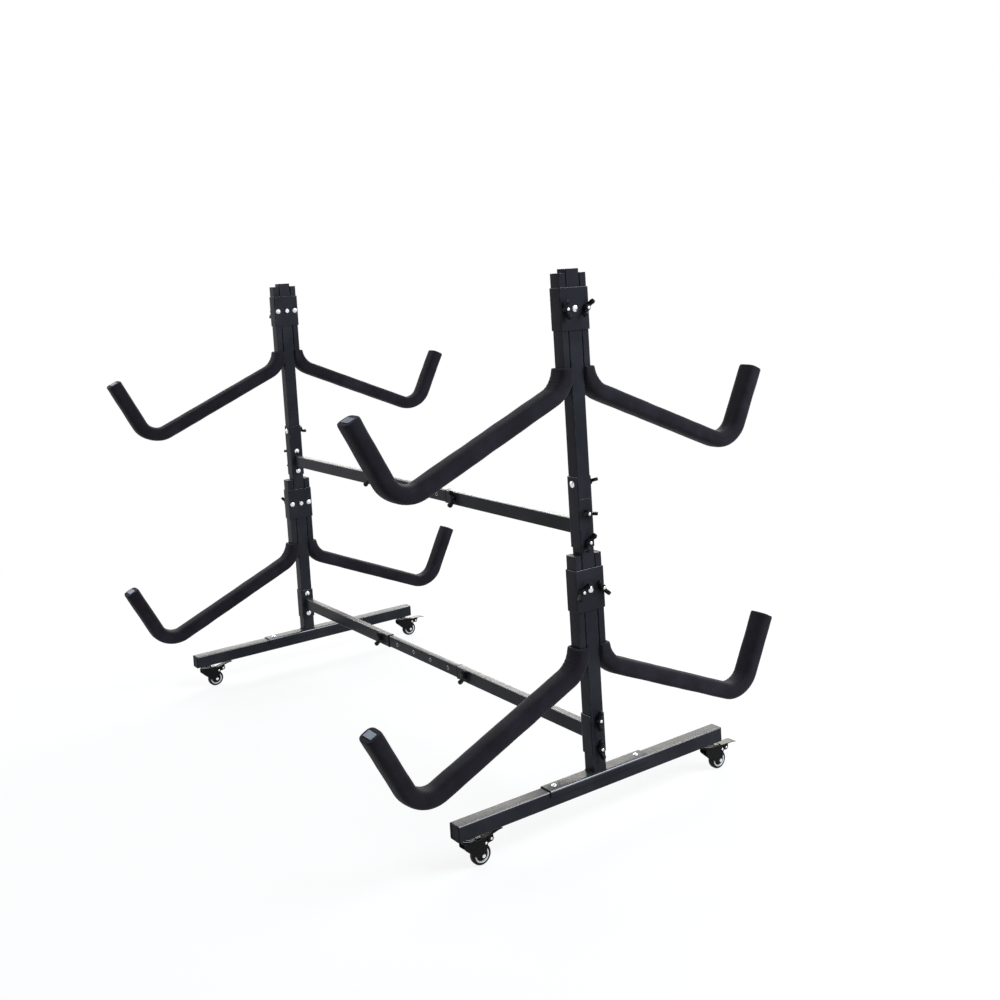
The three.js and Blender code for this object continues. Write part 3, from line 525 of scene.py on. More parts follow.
def refined(node):
    bm = bmesh.new()
    bm.from_mesh(frame["nodes"][node].data)
    bmesh.ops.remove_doubles(bm, verts=bm.verts, dist=SAME_POINT)
    bmesh.ops.dissolve_limit(bm, angle_limit=SAME_FACE, verts=bm.verts, edges=bm.edges)
    broken(bm, STEEL_EDGE)
    bm.normal_update()
    edge_layer = bm.faces.layers.float["edge"]
    for face in bm.faces:
        if on_corner(node, face.normal):
            face[edge_layer] = 1.0
    mesh = meshed(f"{node}_steel", bm, smooth_below=50)
    put(f"{node}_steel", mesh, coat, body_of(node), stands_for=(node,))


STEEL_ENDINGS = ("_foot", "_post", "_insert", "_sleeve", "_bracket", "_arm", "_inner_tube")
steel_nodes = [n for n in sorted(frame["nodes"]) if n.endswith(STEEL_ENDINGS)]
for node in steel_nodes:
    refined(node)
print("steel pieces", len(steel_nodes))

# %% [markdown]
# ## Where things are on a post
# Both posts carry the same parts, the far one turned half round. A matrix for each side lets
# every later piece be drawn once, about the post's own axis with its outer side towards +X.

# %% Sides, heights and places
post_low, post_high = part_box("near_upper_post")
POST_X = (post_low.x + post_high.x) / 2
POST_TOP = post_high.z
TUBE = post_high.x - post_low.x
TUBE_CORNER = 0.003
SIDES = {
    "near": to(POST_X, 0, 0),
    "far": to(-POST_X, 0, 0) @ Matrix.Rotation(math.pi, 4, "Z"),
}
LEVELS = ("lower", "upper")
ARM_TOPS = {level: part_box(f"near_{level}_left_arm")[1].z for level in LEVELS}
BAR_HEIGHTS = {level: sum(end.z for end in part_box(f"{level}_inner_tube")) / 2 for level in LEVELS}
SADDLE_ABOVE_FOOT = 0.0033
SADDLE_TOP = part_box("near_foot")[1].z + SADDLE_ABOVE_FOOT
turning = {joint["child"]: joint for joint in frame["joints"]}
print("posts at", round(POST_X, 4), "tube", round(TUBE, 4), "bars", BAR_HEIGHTS)

# %% [markdown]
# ## Foam sleeves
# Each arm wears a length of foam tube from just below its bracket to its tip. Foam is soft: it
# is oval rather than square, it thins on the outside of a bend and crumples on the inside, it is
# squeezed flat where it meets the post, and its cut ends are a little round. A simulation could
# find these forms, but rings swept along the arm's own bends can state each of them directly.

# %% The arm's path
ARM_OFFSET = turning["near_lower_right_arm_bolt"]["pos_m"][1]
ARM_DROP = 0.273
ARM_RUN = 0.505
ARM_TIP = 0.221
SLOPE = math.radians(24)
LEAN = math.radians(26.5)
SHOULDER_RADIUS = 0.075
ELBOW_RADIUS = 0.065
RING_SPACING = 0.004

DOWN = Vector((0, -1))
OUT = Vector((math.cos(SLOPE), -math.sin(SLOPE)))
UP = Vector((math.sin(LEAN), math.cos(LEAN)))


def bend(corner, before, after, radius):
    """Stations round a corner: (place, direction, share of the way round the bend)."""
    turn = -before.angle_signed(after)
    start = corner - before * radius * math.tan(turn / 2)
    centre = start + Vector((-before.y, before.x)) * radius
    count = round(radius * turn / RING_SPACING)
    points = []
    for i in range(count + 1):
        angle = turn * i / count
        way = Matrix.Rotation(angle, 2) @ before
        points.append((centre + Vector((way.y, -way.x)) * radius, way, i / count))
    return points


def straight(start, end):
    """Stations between two places, without the places themselves."""
    count = round((end - start).length / RING_SPACING)
    way = (end - start).normalized()
    return [(start.lerp(end, i / count), way, None) for i in range(1, count)]


def arm_path():
    """Stations from where the foam starts, at the top of the shoulder's bend, to the arm's tip."""
    shoulder = Vector((ARM_OFFSET, -ARM_DROP))
    elbow = shoulder + OUT * ARM_RUN
    tip = elbow + UP * ARM_TIP
    first = bend(shoulder, DOWN, OUT, SHOULDER_RADIUS)
    second = bend(elbow, OUT, UP, ELBOW_RADIUS)
    lower = first + straight(first[-1][0], second[0][0]) + second
    return lower + straight(second[-1][0], tip) + [(tip, UP, None)]


path = arm_path()
print("stations along an arm", len(path))

# %% The foam's rings
FOAM_WIDE, FOAM_THICK = 0.06, 0.043
FOAM_ROUNDNESS = 3.1  # 2 is an ellipse, and larger is squarer
BORE_WIDE, BORE_THICK = 0.0404, 0.0214
BORE_ROUNDNESS = 9.0
RING_POINTS = 40
END_ROUNDING = 0.006
END_INSET = 0.45  # as a share of the rounding
POST_FACE = TUBE / 2 + 0.0004
CRUMPLE_PITCH = 0.013
CRUMPLE_DEPTH = 0.0007
STRETCH_THINNING = 0.0012
LUMP_HEIGHT = 0.0008
LUMPS_ROUND, LUMPS_PER_METRE = 1.5, 22
SEED_STEP = 7.3  # how far apart the sleeves' lumps are taken from the noise


def oval(width, thick, roundness):
    """Points of a squared oval."""
    points = []
    for i in range(RING_POINTS):
        angle = math.tau * i / RING_POINTS
        c, s = math.cos(angle), math.sin(angle)
        x = math.copysign(abs(c) ** (2 / roundness), c) * width / 2
        y = math.copysign(abs(s) ** (2 / roundness), s) * thick / 2
        points.append(Vector((x, y)))
    return points


def foam_rings(path, seed):
    outer = oval(FOAM_WIDE, FOAM_THICK, FOAM_ROUNDNESS)
    bore = oval(BORE_WIDE, BORE_THICK, BORE_ROUNDNESS)
    lengths = [0.0]
    for one, two in zip(path, path[1:]):
        lengths.append(lengths[-1] + (two[0] - one[0]).length)
    total = lengths[-1]
    skin, hollow = [], []
    for (place, way, share), along in zip(path, lengths):
        outward = Vector((way.y, -way.x))  # in the arm's plane, to the outside of its bends
        to_end = min(along, total - along)
        inset = 0.0
        if to_end < END_ROUNDING:
            across = 1 - to_end / END_ROUNDING
            inset = END_ROUNDING * END_INSET * (1 - math.sqrt(max(0.0, 1 - across * across)))
        bent = math.sin(math.pi * share) ** 2 if share is not None else 0.0

        def laid(point):
            """A point of a ring, laid at this station."""
            return (point.x, place.x + outward.x * point.y, place.y + outward.y * point.y)

        ring = []
        for point in outer:
            facing = point / point.length
            across_noise = facing * LUMPS_ROUND
            along_noise = along * LUMPS_PER_METRE + seed * SEED_STEP
            lumps = noise.noise(Vector((across_noise.x, across_noise.y, along_noise)))
            swell = lumps * LUMP_HEIGHT - bent * max(0.0, facing.y) * STRETCH_THINNING
            wave = math.sin(math.tau * along / CRUMPLE_PITCH + lumps)
            swell += bent * max(0.0, -facing.y) * (STRETCH_THINNING + wave * CRUMPLE_DEPTH)
            x, y, z = laid(point + facing * (swell - inset))
            ring.append((x, max(y, POST_FACE), z))
        skin.append(ring)
        hollow.append([laid(point) for point in bore])
    return skin + hollow[::-1]


def with_end_rings(path):
    """More stations close to both ends, so that the rounding there is smooth."""
    shares = (0.0, 0.06, 0.16, 0.32, 0.55, 0.8, 1.0)
    first, last = path[0][0], path[-1][0]
    start = [(first + path[0][1] * END_ROUNDING * s, path[0][1], path[0][2]) for s in shares]
    end = [(last - path[-1][1] * END_ROUNDING * s, path[-1][1], None) for s in shares[::-1]]
    clear = END_ROUNDING * 1.3
    middle = [p for p in path if min((p[0] - first).length, (p[0] - last).length) > clear]
    return start + middle + end


# Each side's hands, with the way that their arms point along Y in the post's own frame
HANDS = {"near": (("right", 1), ("left", -1)), "far": (("left", 1), ("right", -1))}
FLIP, NO_FLIP = Matrix.Rotation(math.pi, 4, "Z"), Matrix.Identity(4)
foam_count = 0
for side, side_matrix in SIDES.items():
    for level, top in ARM_TOPS.items():
        for hand, way in HANDS[side]:
            foam_count += 1
            name = f"{side}_{level}_{hand}_foam"
            bm = skinned(foam_rings(with_end_rings(path), foam_count), wrap=True)
            mesh = meshed(f"{name}_sleeve", bm, smooth_below=70)
            mesh.transform(side_matrix @ to(0, 0, top) @ (FLIP if way < 0 else NO_FLIP))
            body = body_of(name)
            piece = put(f"{name}_sleeve", mesh, foam_skin, body, None, (name,), weighted=False)
print("foam sleeves", foam_count, "rings", len(with_end_rings(path)))

# %% [markdown]
# ## Plugs and caps
# Open tube ends are closed with moulded plastic: slate plugs in the arm tips, black ones in the
# tops of arms and posts, and square caps on the feet. A cap is a flange with a soft edge and a
# body that grips inside the tube. The top plugs sit level with the tube so that nothing snags.

# %% Make the plugs and caps
ARM_WIDE, ARM_THIN = 0.038, 0.019
PLUG_RISE = 0.0016
PLUG_SINK = 0.0012  # how deep the plugs sit in the tops of arms and posts
WALLS = 0.0034  # both walls of a tube and the play of a plug
CAP_GAP = 0.0006  # the dark line between a foot's end and its cap
FLANGE_SOFT, CAP_SOFT = 0.45, 0.35  # how much of its rise is rounded


def grip(width, height, corner, gap, depth):
    """The body that grips inside the tube."""
    outline = rounded_rectangle(width - gap, height - gap, max(corner - gap / 2, 0.0004))
    return plate(outline, -depth, 0.0001)


def plug(width, height, corner, rise, depth, gap):
    flange = broken(plate(rounded_rectangle(width, height, corner), 0, rise), rise * FLANGE_SOFT, 3)
    return joined(flange, grip(width, height, corner, gap, depth))


def dished(size, corner, rise, depth, gap, rim, sink):
    """A square cap whose middle lies a little below its rim."""
    soft = rise * CAP_SOFT
    steps = [(0, 0), (0, rise - soft), (soft * 0.35, rise - soft * 0.35), (soft, rise)]
    steps += [(rim, rise), (rim + sink * 0.6, rise - sink)]
    rings = []
    for inset, z in steps:
        ring = rounded_rectangle(size - 2 * inset, size - 2 * inset, max(corner - inset, 0.0008))
        rings.append([(x, y, z) for x, y in ring])
    return joined(skinned(rings), grip(size, size, corner, gap, depth))


tip_plug = meshed(
    "tip_plug", plug(ARM_WIDE - 0.001, ARM_THIN - 0.001, 0.002, PLUG_RISE, 0.012, 0.0026)
)
arm_plug = meshed("arm_plug", plug(ARM_WIDE - WALLS, ARM_THIN - WALLS, 0.001, 0.0008, 0.01, 0.001))
post_plug = meshed("post_plug", plug(TUBE - WALLS, TUBE - WALLS, 0.0016, 0.0008, 0.012, 0.001))
cap_sizes = {"rise": 0.0024, "depth": 0.014, "gap": 0.0036, "rim": 0.0036, "sink": 0.0014}
foot_cap = meshed("foot_cap", dished(TUBE - 0.0006, TUBE_CORNER, **cap_sizes))

tip_place = path[-1][0]
tip_turn = Matrix.Rotation(-LEAN, 4, "X")
for side, side_matrix in SIDES.items():
    body = f"{side}_frame"
    post_at = side_matrix @ to(0, 0, POST_TOP - PLUG_SINK)
    put(f"{side}_post_plug", post_plug, cap_plastic, body, post_at)
    foot_low, foot_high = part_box(f"{side}_foot")
    for end, name in ((1, "a"), (-1, "b")):
        at = to(0, end * (foot_high.y + CAP_GAP), (foot_low.z + foot_high.z) / 2)
        cap_at = side_matrix @ at @ Matrix.Rotation(-end * math.pi / 2, 4, "X")
        put(f"{side}_foot_cap_{name}", foot_cap, cap_plastic, body, cap_at)
    for level, top in ARM_TOPS.items():
        for hand, way in HANDS[side]:
            name = f"{side}_{level}_{hand}"
            arm_at = side_matrix @ (FLIP if way < 0 else NO_FLIP)
            tip_at = arm_at @ to(0, tip_place.x, top + tip_place.y) @ tip_turn
            put(f"{name}_tip_plug", tip_plug, plug_plastic, body, tip_at)
            top_at = arm_at @ to(0, ARM_OFFSET, top - PLUG_SINK)
            put(f"{name}_arm_plug", arm_plug, cap_plastic, body, top_at)
print("plugs and caps", pieces_named("_plug", "_cap_"))

# %% [markdown]
# ## Wing nuts
# The rack is put together by hand with wing nuts moulded in black plastic. Hub and wings are one
# casting, so they flow into each other in small fillets. Bevelling such a joint by hand is slow.
# Instead the overlapping shapes are remeshed into one skin, and smoothing melts the corners.

# %% Mould one wing nut
BOLT = 0.008
HUB_BASE = 0.009
HUB_TOP = 0.0075
HUB_HEIGHT = 0.013
WING_SPAN = 0.05
WING_HEIGHT = 0.02
WING_TIP = 0.0145
WING_THICKNESS = 0.0078
CASTING_GRAIN = 0.0007
CASTING_MELT, CASTING_PASSES = 0.5, 6
CASTING_KEPT = 0.35  # share of the faces left after thinning


def wing_outline():
    reach, tip = WING_SPAN / 2, WING_TIP / 2
    right = [(HUB_BASE * 0.9, 0.0006), (HUB_BASE * 1.25, 0.0022)]
    right += arc_points((reach - tip, WING_HEIGHT - tip), tip, -75, 115, 8)
    right += [(HUB_TOP * 1.3, HUB_HEIGHT * 0.98)]
    left = [(-x, y) for x, y in reversed(right)]
    return right + left


def as_cast(name, bm):
    """Overlapping closed shapes melted into one smooth skin."""
    mould = bpy.data.objects.new(name, bpy.data.meshes.new(name))
    bm.to_mesh(mould.data)
    bm.free()
    bpy.context.scene.collection.objects.link(mould)
    remesh = mould.modifiers.new("one_skin", "REMESH")
    remesh.mode, remesh.voxel_size = "VOXEL", CASTING_GRAIN
    melt = mould.modifiers.new("melt", "SMOOTH")
    melt.factor, melt.iterations = CASTING_MELT, CASTING_PASSES
    mould.modifiers.new("thin", "DECIMATE").ratio = CASTING_KEPT
    evaluated = mould.evaluated_get(bpy.context.evaluated_depsgraph_get())
    cast = bpy.data.meshes.new_from_object(evaluated)
    bpy.data.objects.remove(mould)
    cast.name = name
    cast.shade_smooth()
    return cast


LAY_DOWN = Matrix.Rotation(math.pi / 2, 4, "X")  # outline's Y becomes Z
hub_profile = [(HUB_BASE, 0), (HUB_BASE, 0.002)]
hub_profile += [(HUB_TOP, HUB_HEIGHT - 0.001), (HUB_TOP - 0.001, HUB_HEIGHT)]
hub = turned(hub_profile, 32)
wings = moved(plate(wing_outline(), -WING_THICKNESS / 2, WING_THICKNESS / 2), LAY_DOWN)
wing_nut = as_cast("wing_nut", joined(hub, wings))
print("wing nut faces", len(wing_nut.polygons))

# %% [markdown]
# ## Bolts
# The bolts are zinc-plated carriage bolts, M8 by the look of them: a low dome on the far side, a
# stub that shows in the middle of each wing nut, or none where the screw is moulded in. Turned
# profiles give all of them. The flat hexagon nuts behind the plain bolts are six-sided plates.

# %% Turn the bolts and nuts
BOLT_END = 0.0038
NUT_REACH, NUT_HEIGHT = 0.0075, 0.0065


def domed(radius, height):
    """A low dome with a short upright rim."""
    shares = ((1, 0), (1, 0.16), (0.92, 0.4), (0.72, 0.69), (0.44, 0.91), (0.14, 1))
    return turned([(radius * r, height * h) for r, h in shares], 28)


end_profile = [(BOLT / 2, -0.004), (BOLT / 2, 0.0024), (BOLT / 2 - 0.0006, 0.0032)]
end_profile += [(0.0022, 0.0037), (0.0008, BOLT_END)]
hole_profile = [(0.0042, -0.0006), (0.0043, 0.0001), (0.005, 0.00012)]
hole_profile += [(0.0052, -0.0001), (0.0052, -0.0006)]
dome = meshed("bolt_dome", domed(0.0086, 0.0045), smooth_below=60)
small_dome = meshed("saddle_bolt_dome", domed(0.0071, 0.0034), smooth_below=60)
bolt_end = meshed("bolt_end", turned(end_profile, 20), smooth_below=50)
hole_rim = meshed("hole_rim", turned(hole_profile, 24, wrap=True))
hexagon = arc_points((0, 0), NUT_REACH, 0, 300, 5)
hex_nut = meshed("hex_nut", broken(plate(hexagon, 0, NUT_HEIGHT), 0.0006))


def along(axis, turned_by=0.0):
    """The turn that points +Z along an axis, after a spin about Z in degrees."""
    spin = Quaternion((0, 0, 1), math.radians(turned_by))
    return (Vector((0, 0, 1)).rotation_difference(Vector(axis)) @ spin).to_matrix().to_4x4()


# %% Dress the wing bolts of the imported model
# How far each nut was turned by whoever tightened it, in degrees: near, far
WING_TURNS = {
    "lower_left_arm_bolt": (-45, -35),
    "lower_right_arm_bolt": (40, 62),
    "upper_left_arm_bolt": (10, 15),
    "upper_right_arm_bolt": (-40, -50),
    "lower_bar_screw": (60, 64),
    "upper_bar_screw": (80, 65),
    "splice_bolt": (-18, 12),
}
GRIP = 0.0436  # between a bolt's head and its wing nut
for kind, turns in WING_TURNS.items():
    for side, turn in zip(SIDES, turns):
        node = f"{side}_{kind}"
        joint = turning[node]
        seat = Matrix.Translation(joint["pos_m"]) @ along(joint["axis"], turn)
        put(f"{node}_wing", wing_nut, knob, node, seat, stands_for=(node,), weighted=False)
        if kind.endswith("_bolt"):
            put(f"{node}_end", bolt_end, bright_zinc, node, seat @ to(0, 0, HUB_HEIGHT))
            away = seat @ to(0, 0, -GRIP) @ Matrix.Rotation(math.pi, 4, "X")
            put(f"{node}_head", dome, bright_zinc, node, away)
print("wing nuts of the packed model", pieces_named("_bolt_wing", "_screw_wing"))

# %% [markdown]
# ## Fasteners that stay put
# Two wing bolts hold each crossbar's channel to its post, one plain bolt runs through the middle
# of each arm clamp, and two dome bolts hold each saddle to its foot. They never move in use, so
# they simply ride on their post.

# %% Place the fixed fasteners
clamp_low, clamp_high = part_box("near_lower_arm_bracket")
CLAMP_HALF = (clamp_high.x - clamp_low.x) / 2
BAR_BOLT_OFFSET = 0.035
ARM_BOLT_DROP = 0.085
SADDLE_BOLT_Y = 0.126
BRACKET_WINGS = {("lower", -1): 4, ("lower", 1): -6, ("upper", -1): -38, ("upper", 1): 84}
outside, inside = along((1, 0, 0)), along((-1, 0, 0))
for side, side_matrix in SIDES.items():
    body = f"{side}_frame"
    for (level, way), turn in BRACKET_WINGS.items():
        name = f"{side}_{level}_bracket_bolt_{'top' if way > 0 else 'low'}"
        height = BAR_HEIGHTS[level] + way * BAR_BOLT_OFFSET
        seat = side_matrix @ to(TUBE / 2, 0, height) @ along((1, 0, 0), turn)
        put(f"{name}_wing", wing_nut, knob, body, seat, weighted=False)
        put(f"{name}_end", bolt_end, bright_zinc, body, seat @ to(0, 0, HUB_HEIGHT))
        head = side_matrix @ to(-CLAMP_HALF, 0, height) @ inside
        put(f"{name}_head", dome, bright_zinc, body, head)
    for level, top in ARM_TOPS.items():
        height = top - ARM_BOLT_DROP
        out_at = side_matrix @ to(CLAMP_HALF, 0, height) @ outside
        in_at = side_matrix @ to(-CLAMP_HALF, 0, height) @ inside
        put(f"{side}_{level}_clamp_dome", dome, bright_zinc, body, out_at)
        put(f"{side}_{level}_clamp_nut", hex_nut, bright_zinc, body, in_at)
    for end, name in ((1, "a"), (-1, "b")):
        at = side_matrix @ to(0, end * SADDLE_BOLT_Y, SADDLE_TOP)
        put(f"{side}_saddle_dome_{name}", small_dome, bright_zinc, body, at)
print("fixed fasteners", pieces_named("_bracket_bolt_", "_clamp_", "_saddle_dome_"))

# %% Rim the holes of the crossbars
HOLE_PITCH = 0.1016
HOLE_COUNT = 8
for level, height in BAR_HEIGHTS.items():
    low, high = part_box(f"{level}_inner_tube")
    for face, y in ((-1, low.y), (1, high.y)):
        for i in range(HOLE_COUNT):
            x = (low.x + high.x) / 2 + (i - (HOLE_COUNT - 1) / 2) * HOLE_PITCH
            at = to(x, y, height) @ along((0, face, 0))
            name = f"{level}_hole_rim_{'back' if face > 0 else 'front'}_{i + 1}"
            put(name, hole_rim, bright_zinc, f"{level}_inner_tube", at)
print("hole rims", pieces_named("_hole_rim_"))

# %% [markdown]
# ## Welds and bushings
# The post is welded to its saddle and each sleeve to its channel. A weld is a bead with a faint
# ripple from each dip of the torch, painted over like the rest. Where the crossbars telescope, a
# thin black bushing lines the mouth of each sleeve so that steel doesn't scrape on steel.

# %% Run the weld beads and fit the bushings
BEAD = 0.0021
RIPPLE = 0.0045
BEAD_SPACING = 0.0012
BEAD_SIDES = 8
BEAD_FLATNESS = 0.9  # its height as a share of its width
SLEEVE_BEAD = BEAD * 0.85
RIPPLE_SHARE, UNEVEN_SHARE = 0.12, 0.1  # of the bead's radius
UNEVEN_PER_METRE = 300


def dense(outline):
    """An outline with more points, so that ripples fit between its corners."""
    points = []
    for i, point in enumerate(outline):
        here, after = Vector(point), Vector(outline[(i + 1) % len(outline)])
        count = max(1, round((after - here).length / BEAD_SPACING))
        points += [here.lerp(after, k / count) for k in range(count)]
    return points


def bead(outline, radius, seed):
    """A rippled bead round an outline in X and Y at z = 0."""
    outline = dense(outline)
    angles = [math.tau * k / BEAD_SIDES for k in range(BEAD_SIDES)]
    rings = []
    travelled = 0.0
    for i, here in enumerate(outline):
        after = outline[(i + 1) % len(outline)]
        way = (after - outline[i - 1]).normalized()
        wave = RIPPLE_SHARE * math.sin(math.tau * travelled / RIPPLE)
        wave += UNEVEN_SHARE * noise.noise(Vector((travelled * UNEVEN_PER_METRE, seed, 0)))
        r = radius * (1 + wave)
        ring = []
        for angle in angles:
            out, up = r * math.cos(angle), r * BEAD_FLATNESS * math.sin(angle)
            ring.append((here.x + way.y * out, here.y - way.x * out, up))
        rings.append(ring)
        travelled += (after - here).length
    return skinned(rings, wrap=True)


SLEEVE_WIDE, SLEEVE_TALL = 0.019, 0.038
BUSHING = 0.0028
post_bead = meshed("post_weld", bead(rounded_rectangle(TUBE, TUBE, TUBE_CORNER, 3), BEAD, 1), 80)
sleeve_ring = rounded_rectangle(SLEEVE_WIDE, SLEEVE_TALL, 0.0025, 2)
sleeve_bead = meshed("sleeve_weld", bead(sleeve_ring, SLEEVE_BEAD, 2), 80)
outer_lip = rounded_rectangle(SLEEVE_WIDE + 0.0008, SLEEVE_TALL + 0.0008, 0.0028)
inner_lip = rounded_rectangle(SLEEVE_WIDE - WALLS, SLEEVE_TALL - WALLS, 0.0014)
lips = ((outer_lip, 0), (outer_lip, BUSHING), (inner_lip, BUSHING), (inner_lip, 0))
bushing_rings = [[(x, y, z) for x, y in lip] for lip, z in lips]
bushing = meshed("sleeve_bushing", broken(skinned(bushing_rings, wrap=True), 0.0003))

# A frame whose Z runs towards the other post, whose X lies along Y and whose Y is up
TO_MIDDLE = Matrix(((0, 0, -1, 0), (-1, 0, 0, 0), (0, 1, 0, 0), (0, 0, 0, 1)))
for side, side_matrix in SIDES.items():
    body = f"{side}_frame"
    post_foot = side_matrix @ to(0, 0, SADDLE_TOP)
    put(f"{side}_post_weld", post_bead, coat, body, post_foot, weighted=False)
    for level, height in BAR_HEIGHTS.items():
        low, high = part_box(f"{side}_{level}_sleeve")
        reach = POST_X - min(abs(low.x), abs(high.x))
        start = side_matrix @ to(-CLAMP_HALF, 0, height) @ TO_MIDDLE
        put(f"{side}_{level}_sleeve_weld", sleeve_bead, coat, body, start, weighted=False)
        mouth = side_matrix @ to(-reach, 0, height) @ TO_MIDDLE
        put(f"{side}_{level}_bushing", bushing, cap_plastic, body, mouth)
print("welds and bushings", pieces_named("_weld", "_bushing"))

# %% [markdown]
# ## Casters
# Each foot stands on two small braked casters. A pressed fork hangs from a ball race, the wheel
# is a black tyre on a pale hub, and a sprung pedal pivots on a rivet behind the wheel. They are
# drawn once about the swivel axis with the floor at zero and then repeated.

# %% The caster's wheel
AXLE_HEIGHT = turning["near_left_wheel"]["pos_m"][2]
SWIVEL = turning["near_left_caster"]["pos_m"]
TRAIL = turning["near_left_wheel"]["pos_m"][1] - SWIVEL[1]
ALONG_X = Matrix.Rotation(math.pi / 2, 4, "Y")
# One half of each profile: the radius, and how far from the wheel's middle
TYRE_HALF = [
    (0.0183, 0.0074), (0.0192, 0.0084), (0.0215, 0.0084), (0.0234, 0.0072), (0.0243, 0.005),
    (AXLE_HEIGHT, 0.002),
]
HUB_RING_HALF = [(0.0141, 0.0072), (0.0146, 0.0086), (0.0178, 0.0088), (0.0184, 0.0076)]
HUB_HALF = [
    (0.0034, 0.0088), (0.0072, 0.0088), (0.0082, 0.0079), (0.0088, 0.0062), (0.0132, 0.0058),
    (0.0143, 0.0068),
]


def wheel_part(name, half, sides):
    profile = [(r, -side) for r, side in half] + half[::-1]
    return meshed(name, moved(turned(profile, sides, wrap=True), ALONG_X), 50)


tyre = wheel_part("tyre", TYRE_HALF, 64)
hub_ring = wheel_part("hub_ring", HUB_RING_HALF, 64)
wheel_hub = wheel_part("wheel_hub", HUB_HALF, 48)

# %% The caster's fork
LEG_INSIDE = 0.0116
LEG_PLATE = 0.0022
LEG_OUTSIDE = LEG_INSIDE + LEG_PLATE
CROWN_LOW = 0.0615
CROWN_TOP = 0.0647
FOOT_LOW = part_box("near_foot")[0].z
PIVOT = turning["near_left_brake"]["pos_m"]
PIVOT_Y, PIVOT_Z = PIVOT[1] - SWIVEL[1], PIVOT[2]
CROWN_FRONT = 0.016
CROWN_BACK = TRAIL + 0.002
EYE = 0.0078


def softened(corner, before, after, steps=6):
    """Points of a soft curve round a corner; before and after say where it starts and ends."""
    middle = Vector(corner)
    start, end = middle + Vector(before), middle + Vector(after)
    shares = [i / steps for i in range(steps + 1)]
    return [tuple(start.lerp(middle, t).lerp(middle.lerp(end, t), t)) for t in shares]


LEG_FRONT_DROP = 0.01
LEG_BREADTH = 0.0185
LEG_CORNER_RISE = 0.002
PIVOT_ROUND = 0.0058
front_low = (-CROWN_FRONT, CROWN_LOW - LEG_FRONT_DROP)
wheel_corner = (TRAIL - LEG_BREADTH, AXLE_HEIGHT + LEG_CORNER_RISE)
leg_outline = [(-CROWN_FRONT, CROWN_TOP)]
leg_outline += softened(front_low, (0, 0.003), (0.0025, -0.0023))
leg_outline += softened(wheel_corner, (-0.0022, 0.002), (0.0026, -0.0016))
leg_outline += arc_points((TRAIL, AXLE_HEIGHT), EYE, 240, 360, 10)
leg_outline += arc_points((PIVOT_Y, PIVOT_Z), PIVOT_ROUND, -20, 70, 6)
leg_outline += [(CROWN_BACK, CROWN_TOP)]

# The outline's X and Y become Y and Z, and its thickness runs along X
INTO_SIDE = Matrix(((0, 0, 1, 0), (1, 0, 0, 0), (0, 1, 0, 0), (0, 0, 0, 1)))


def leg(way):
    edges = sorted((way * LEG_INSIDE, way * LEG_OUTSIDE))
    return moved(broken(plate(leg_outline, *edges), 0.0005), INTO_SIDE)


crown_outline = arc_points((0, 0), CROWN_FRONT, 200, 340, 12)
crown_outline += [(LEG_OUTSIDE, CROWN_BACK), (-LEG_OUTSIDE, CROWN_BACK)]
crown = broken(plate(crown_outline, CROWN_LOW, CROWN_TOP), 0.0005)
race_profile = [
    (0.0150, CROWN_TOP - 0.0005), (0.0168, CROWN_TOP + 0.0002), (0.0172, CROWN_TOP + 0.0012),
    (0.0172, CROWN_TOP + 0.0036), (0.0164, CROWN_TOP + 0.0046), (0.0150, CROWN_TOP + 0.0050),
    (0.0150, CROWN_TOP + 0.0058), (0.0164, CROWN_TOP + 0.0062), (0.0170, CROWN_TOP + 0.0072),
    (0.0170, FOOT_LOW - 0.0012), (0.0160, FOOT_LOW - 0.0003),
]
race = turned(race_profile, 40)
fork = meshed("caster_fork", joined(leg(1), leg(-1), crown, race), 45)
RING_LOW, RING_HIGH = CROWN_TOP + 0.0046, FOOT_LOW - 0.0029


def ring_profile(z):
    return [(0.0146, z), (0.0171, z + 0.0002), (0.0171, z + 0.0007), (0.0146, z + 0.0009)]


race_rings = [turned(ring_profile(z), 40, wrap=True) for z in (RING_LOW, RING_HIGH)]
race_ring = meshed("race_ring", joined(*race_rings))
print("fork faces", len(fork.polygons))

# %% The caster's bright hardware
TAB_WIDE, TAB_LONG, TAB_THICKNESS = 0.0184, 0.0137, 0.0013
TAB_MIDDLE = 0.02465
tab_outline = [(x, y + TAB_MIDDLE) for x, y in rounded_rectangle(TAB_WIDE, TAB_LONG, 0.0025)]
tab = plate(tab_outline, CROWN_TOP, CROWN_TOP + TAB_THICKNESS)
crown_tab = meshed("crown_tab", broken(tab, 0.0003))
nut_profile = [
    (0.005, -0.0002), (0.005, 0.0026), (0.0045, 0.0034), (0.0034, 0.0040), (0.0014, 0.0044),
]
rivet_profile = [
    (0.0031, -0.0002), (0.0031, 0.0006), (0.0026, 0.0012), (0.0016, 0.0016), (0.0005, 0.0017),
]
axle_nut = meshed("axle_nut", turned(nut_profile, 6), 30)
rod_profile = [(0.0028, -LEG_OUTSIDE), (0.0028, LEG_OUTSIDE)]
axle_rod = meshed("axle_rod", moved(turned(rod_profile, 16), ALONG_X))
rivet = meshed("brake_rivet", turned(rivet_profile, 20), 60)

# %% The brake pedal, drawn about its pivot
CHEEK_INSIDE, CHEEK = 0.0097, 0.0113  # how far the cheeks' two faces are from the middle
PEDAL_RIVET = 0.0167
CHEEK_ROUND = 0.0045
LOBE_ROUND = 0.0063
PEDAL_UNDER = 0.0085
PEDAL_PLATE = 0.002
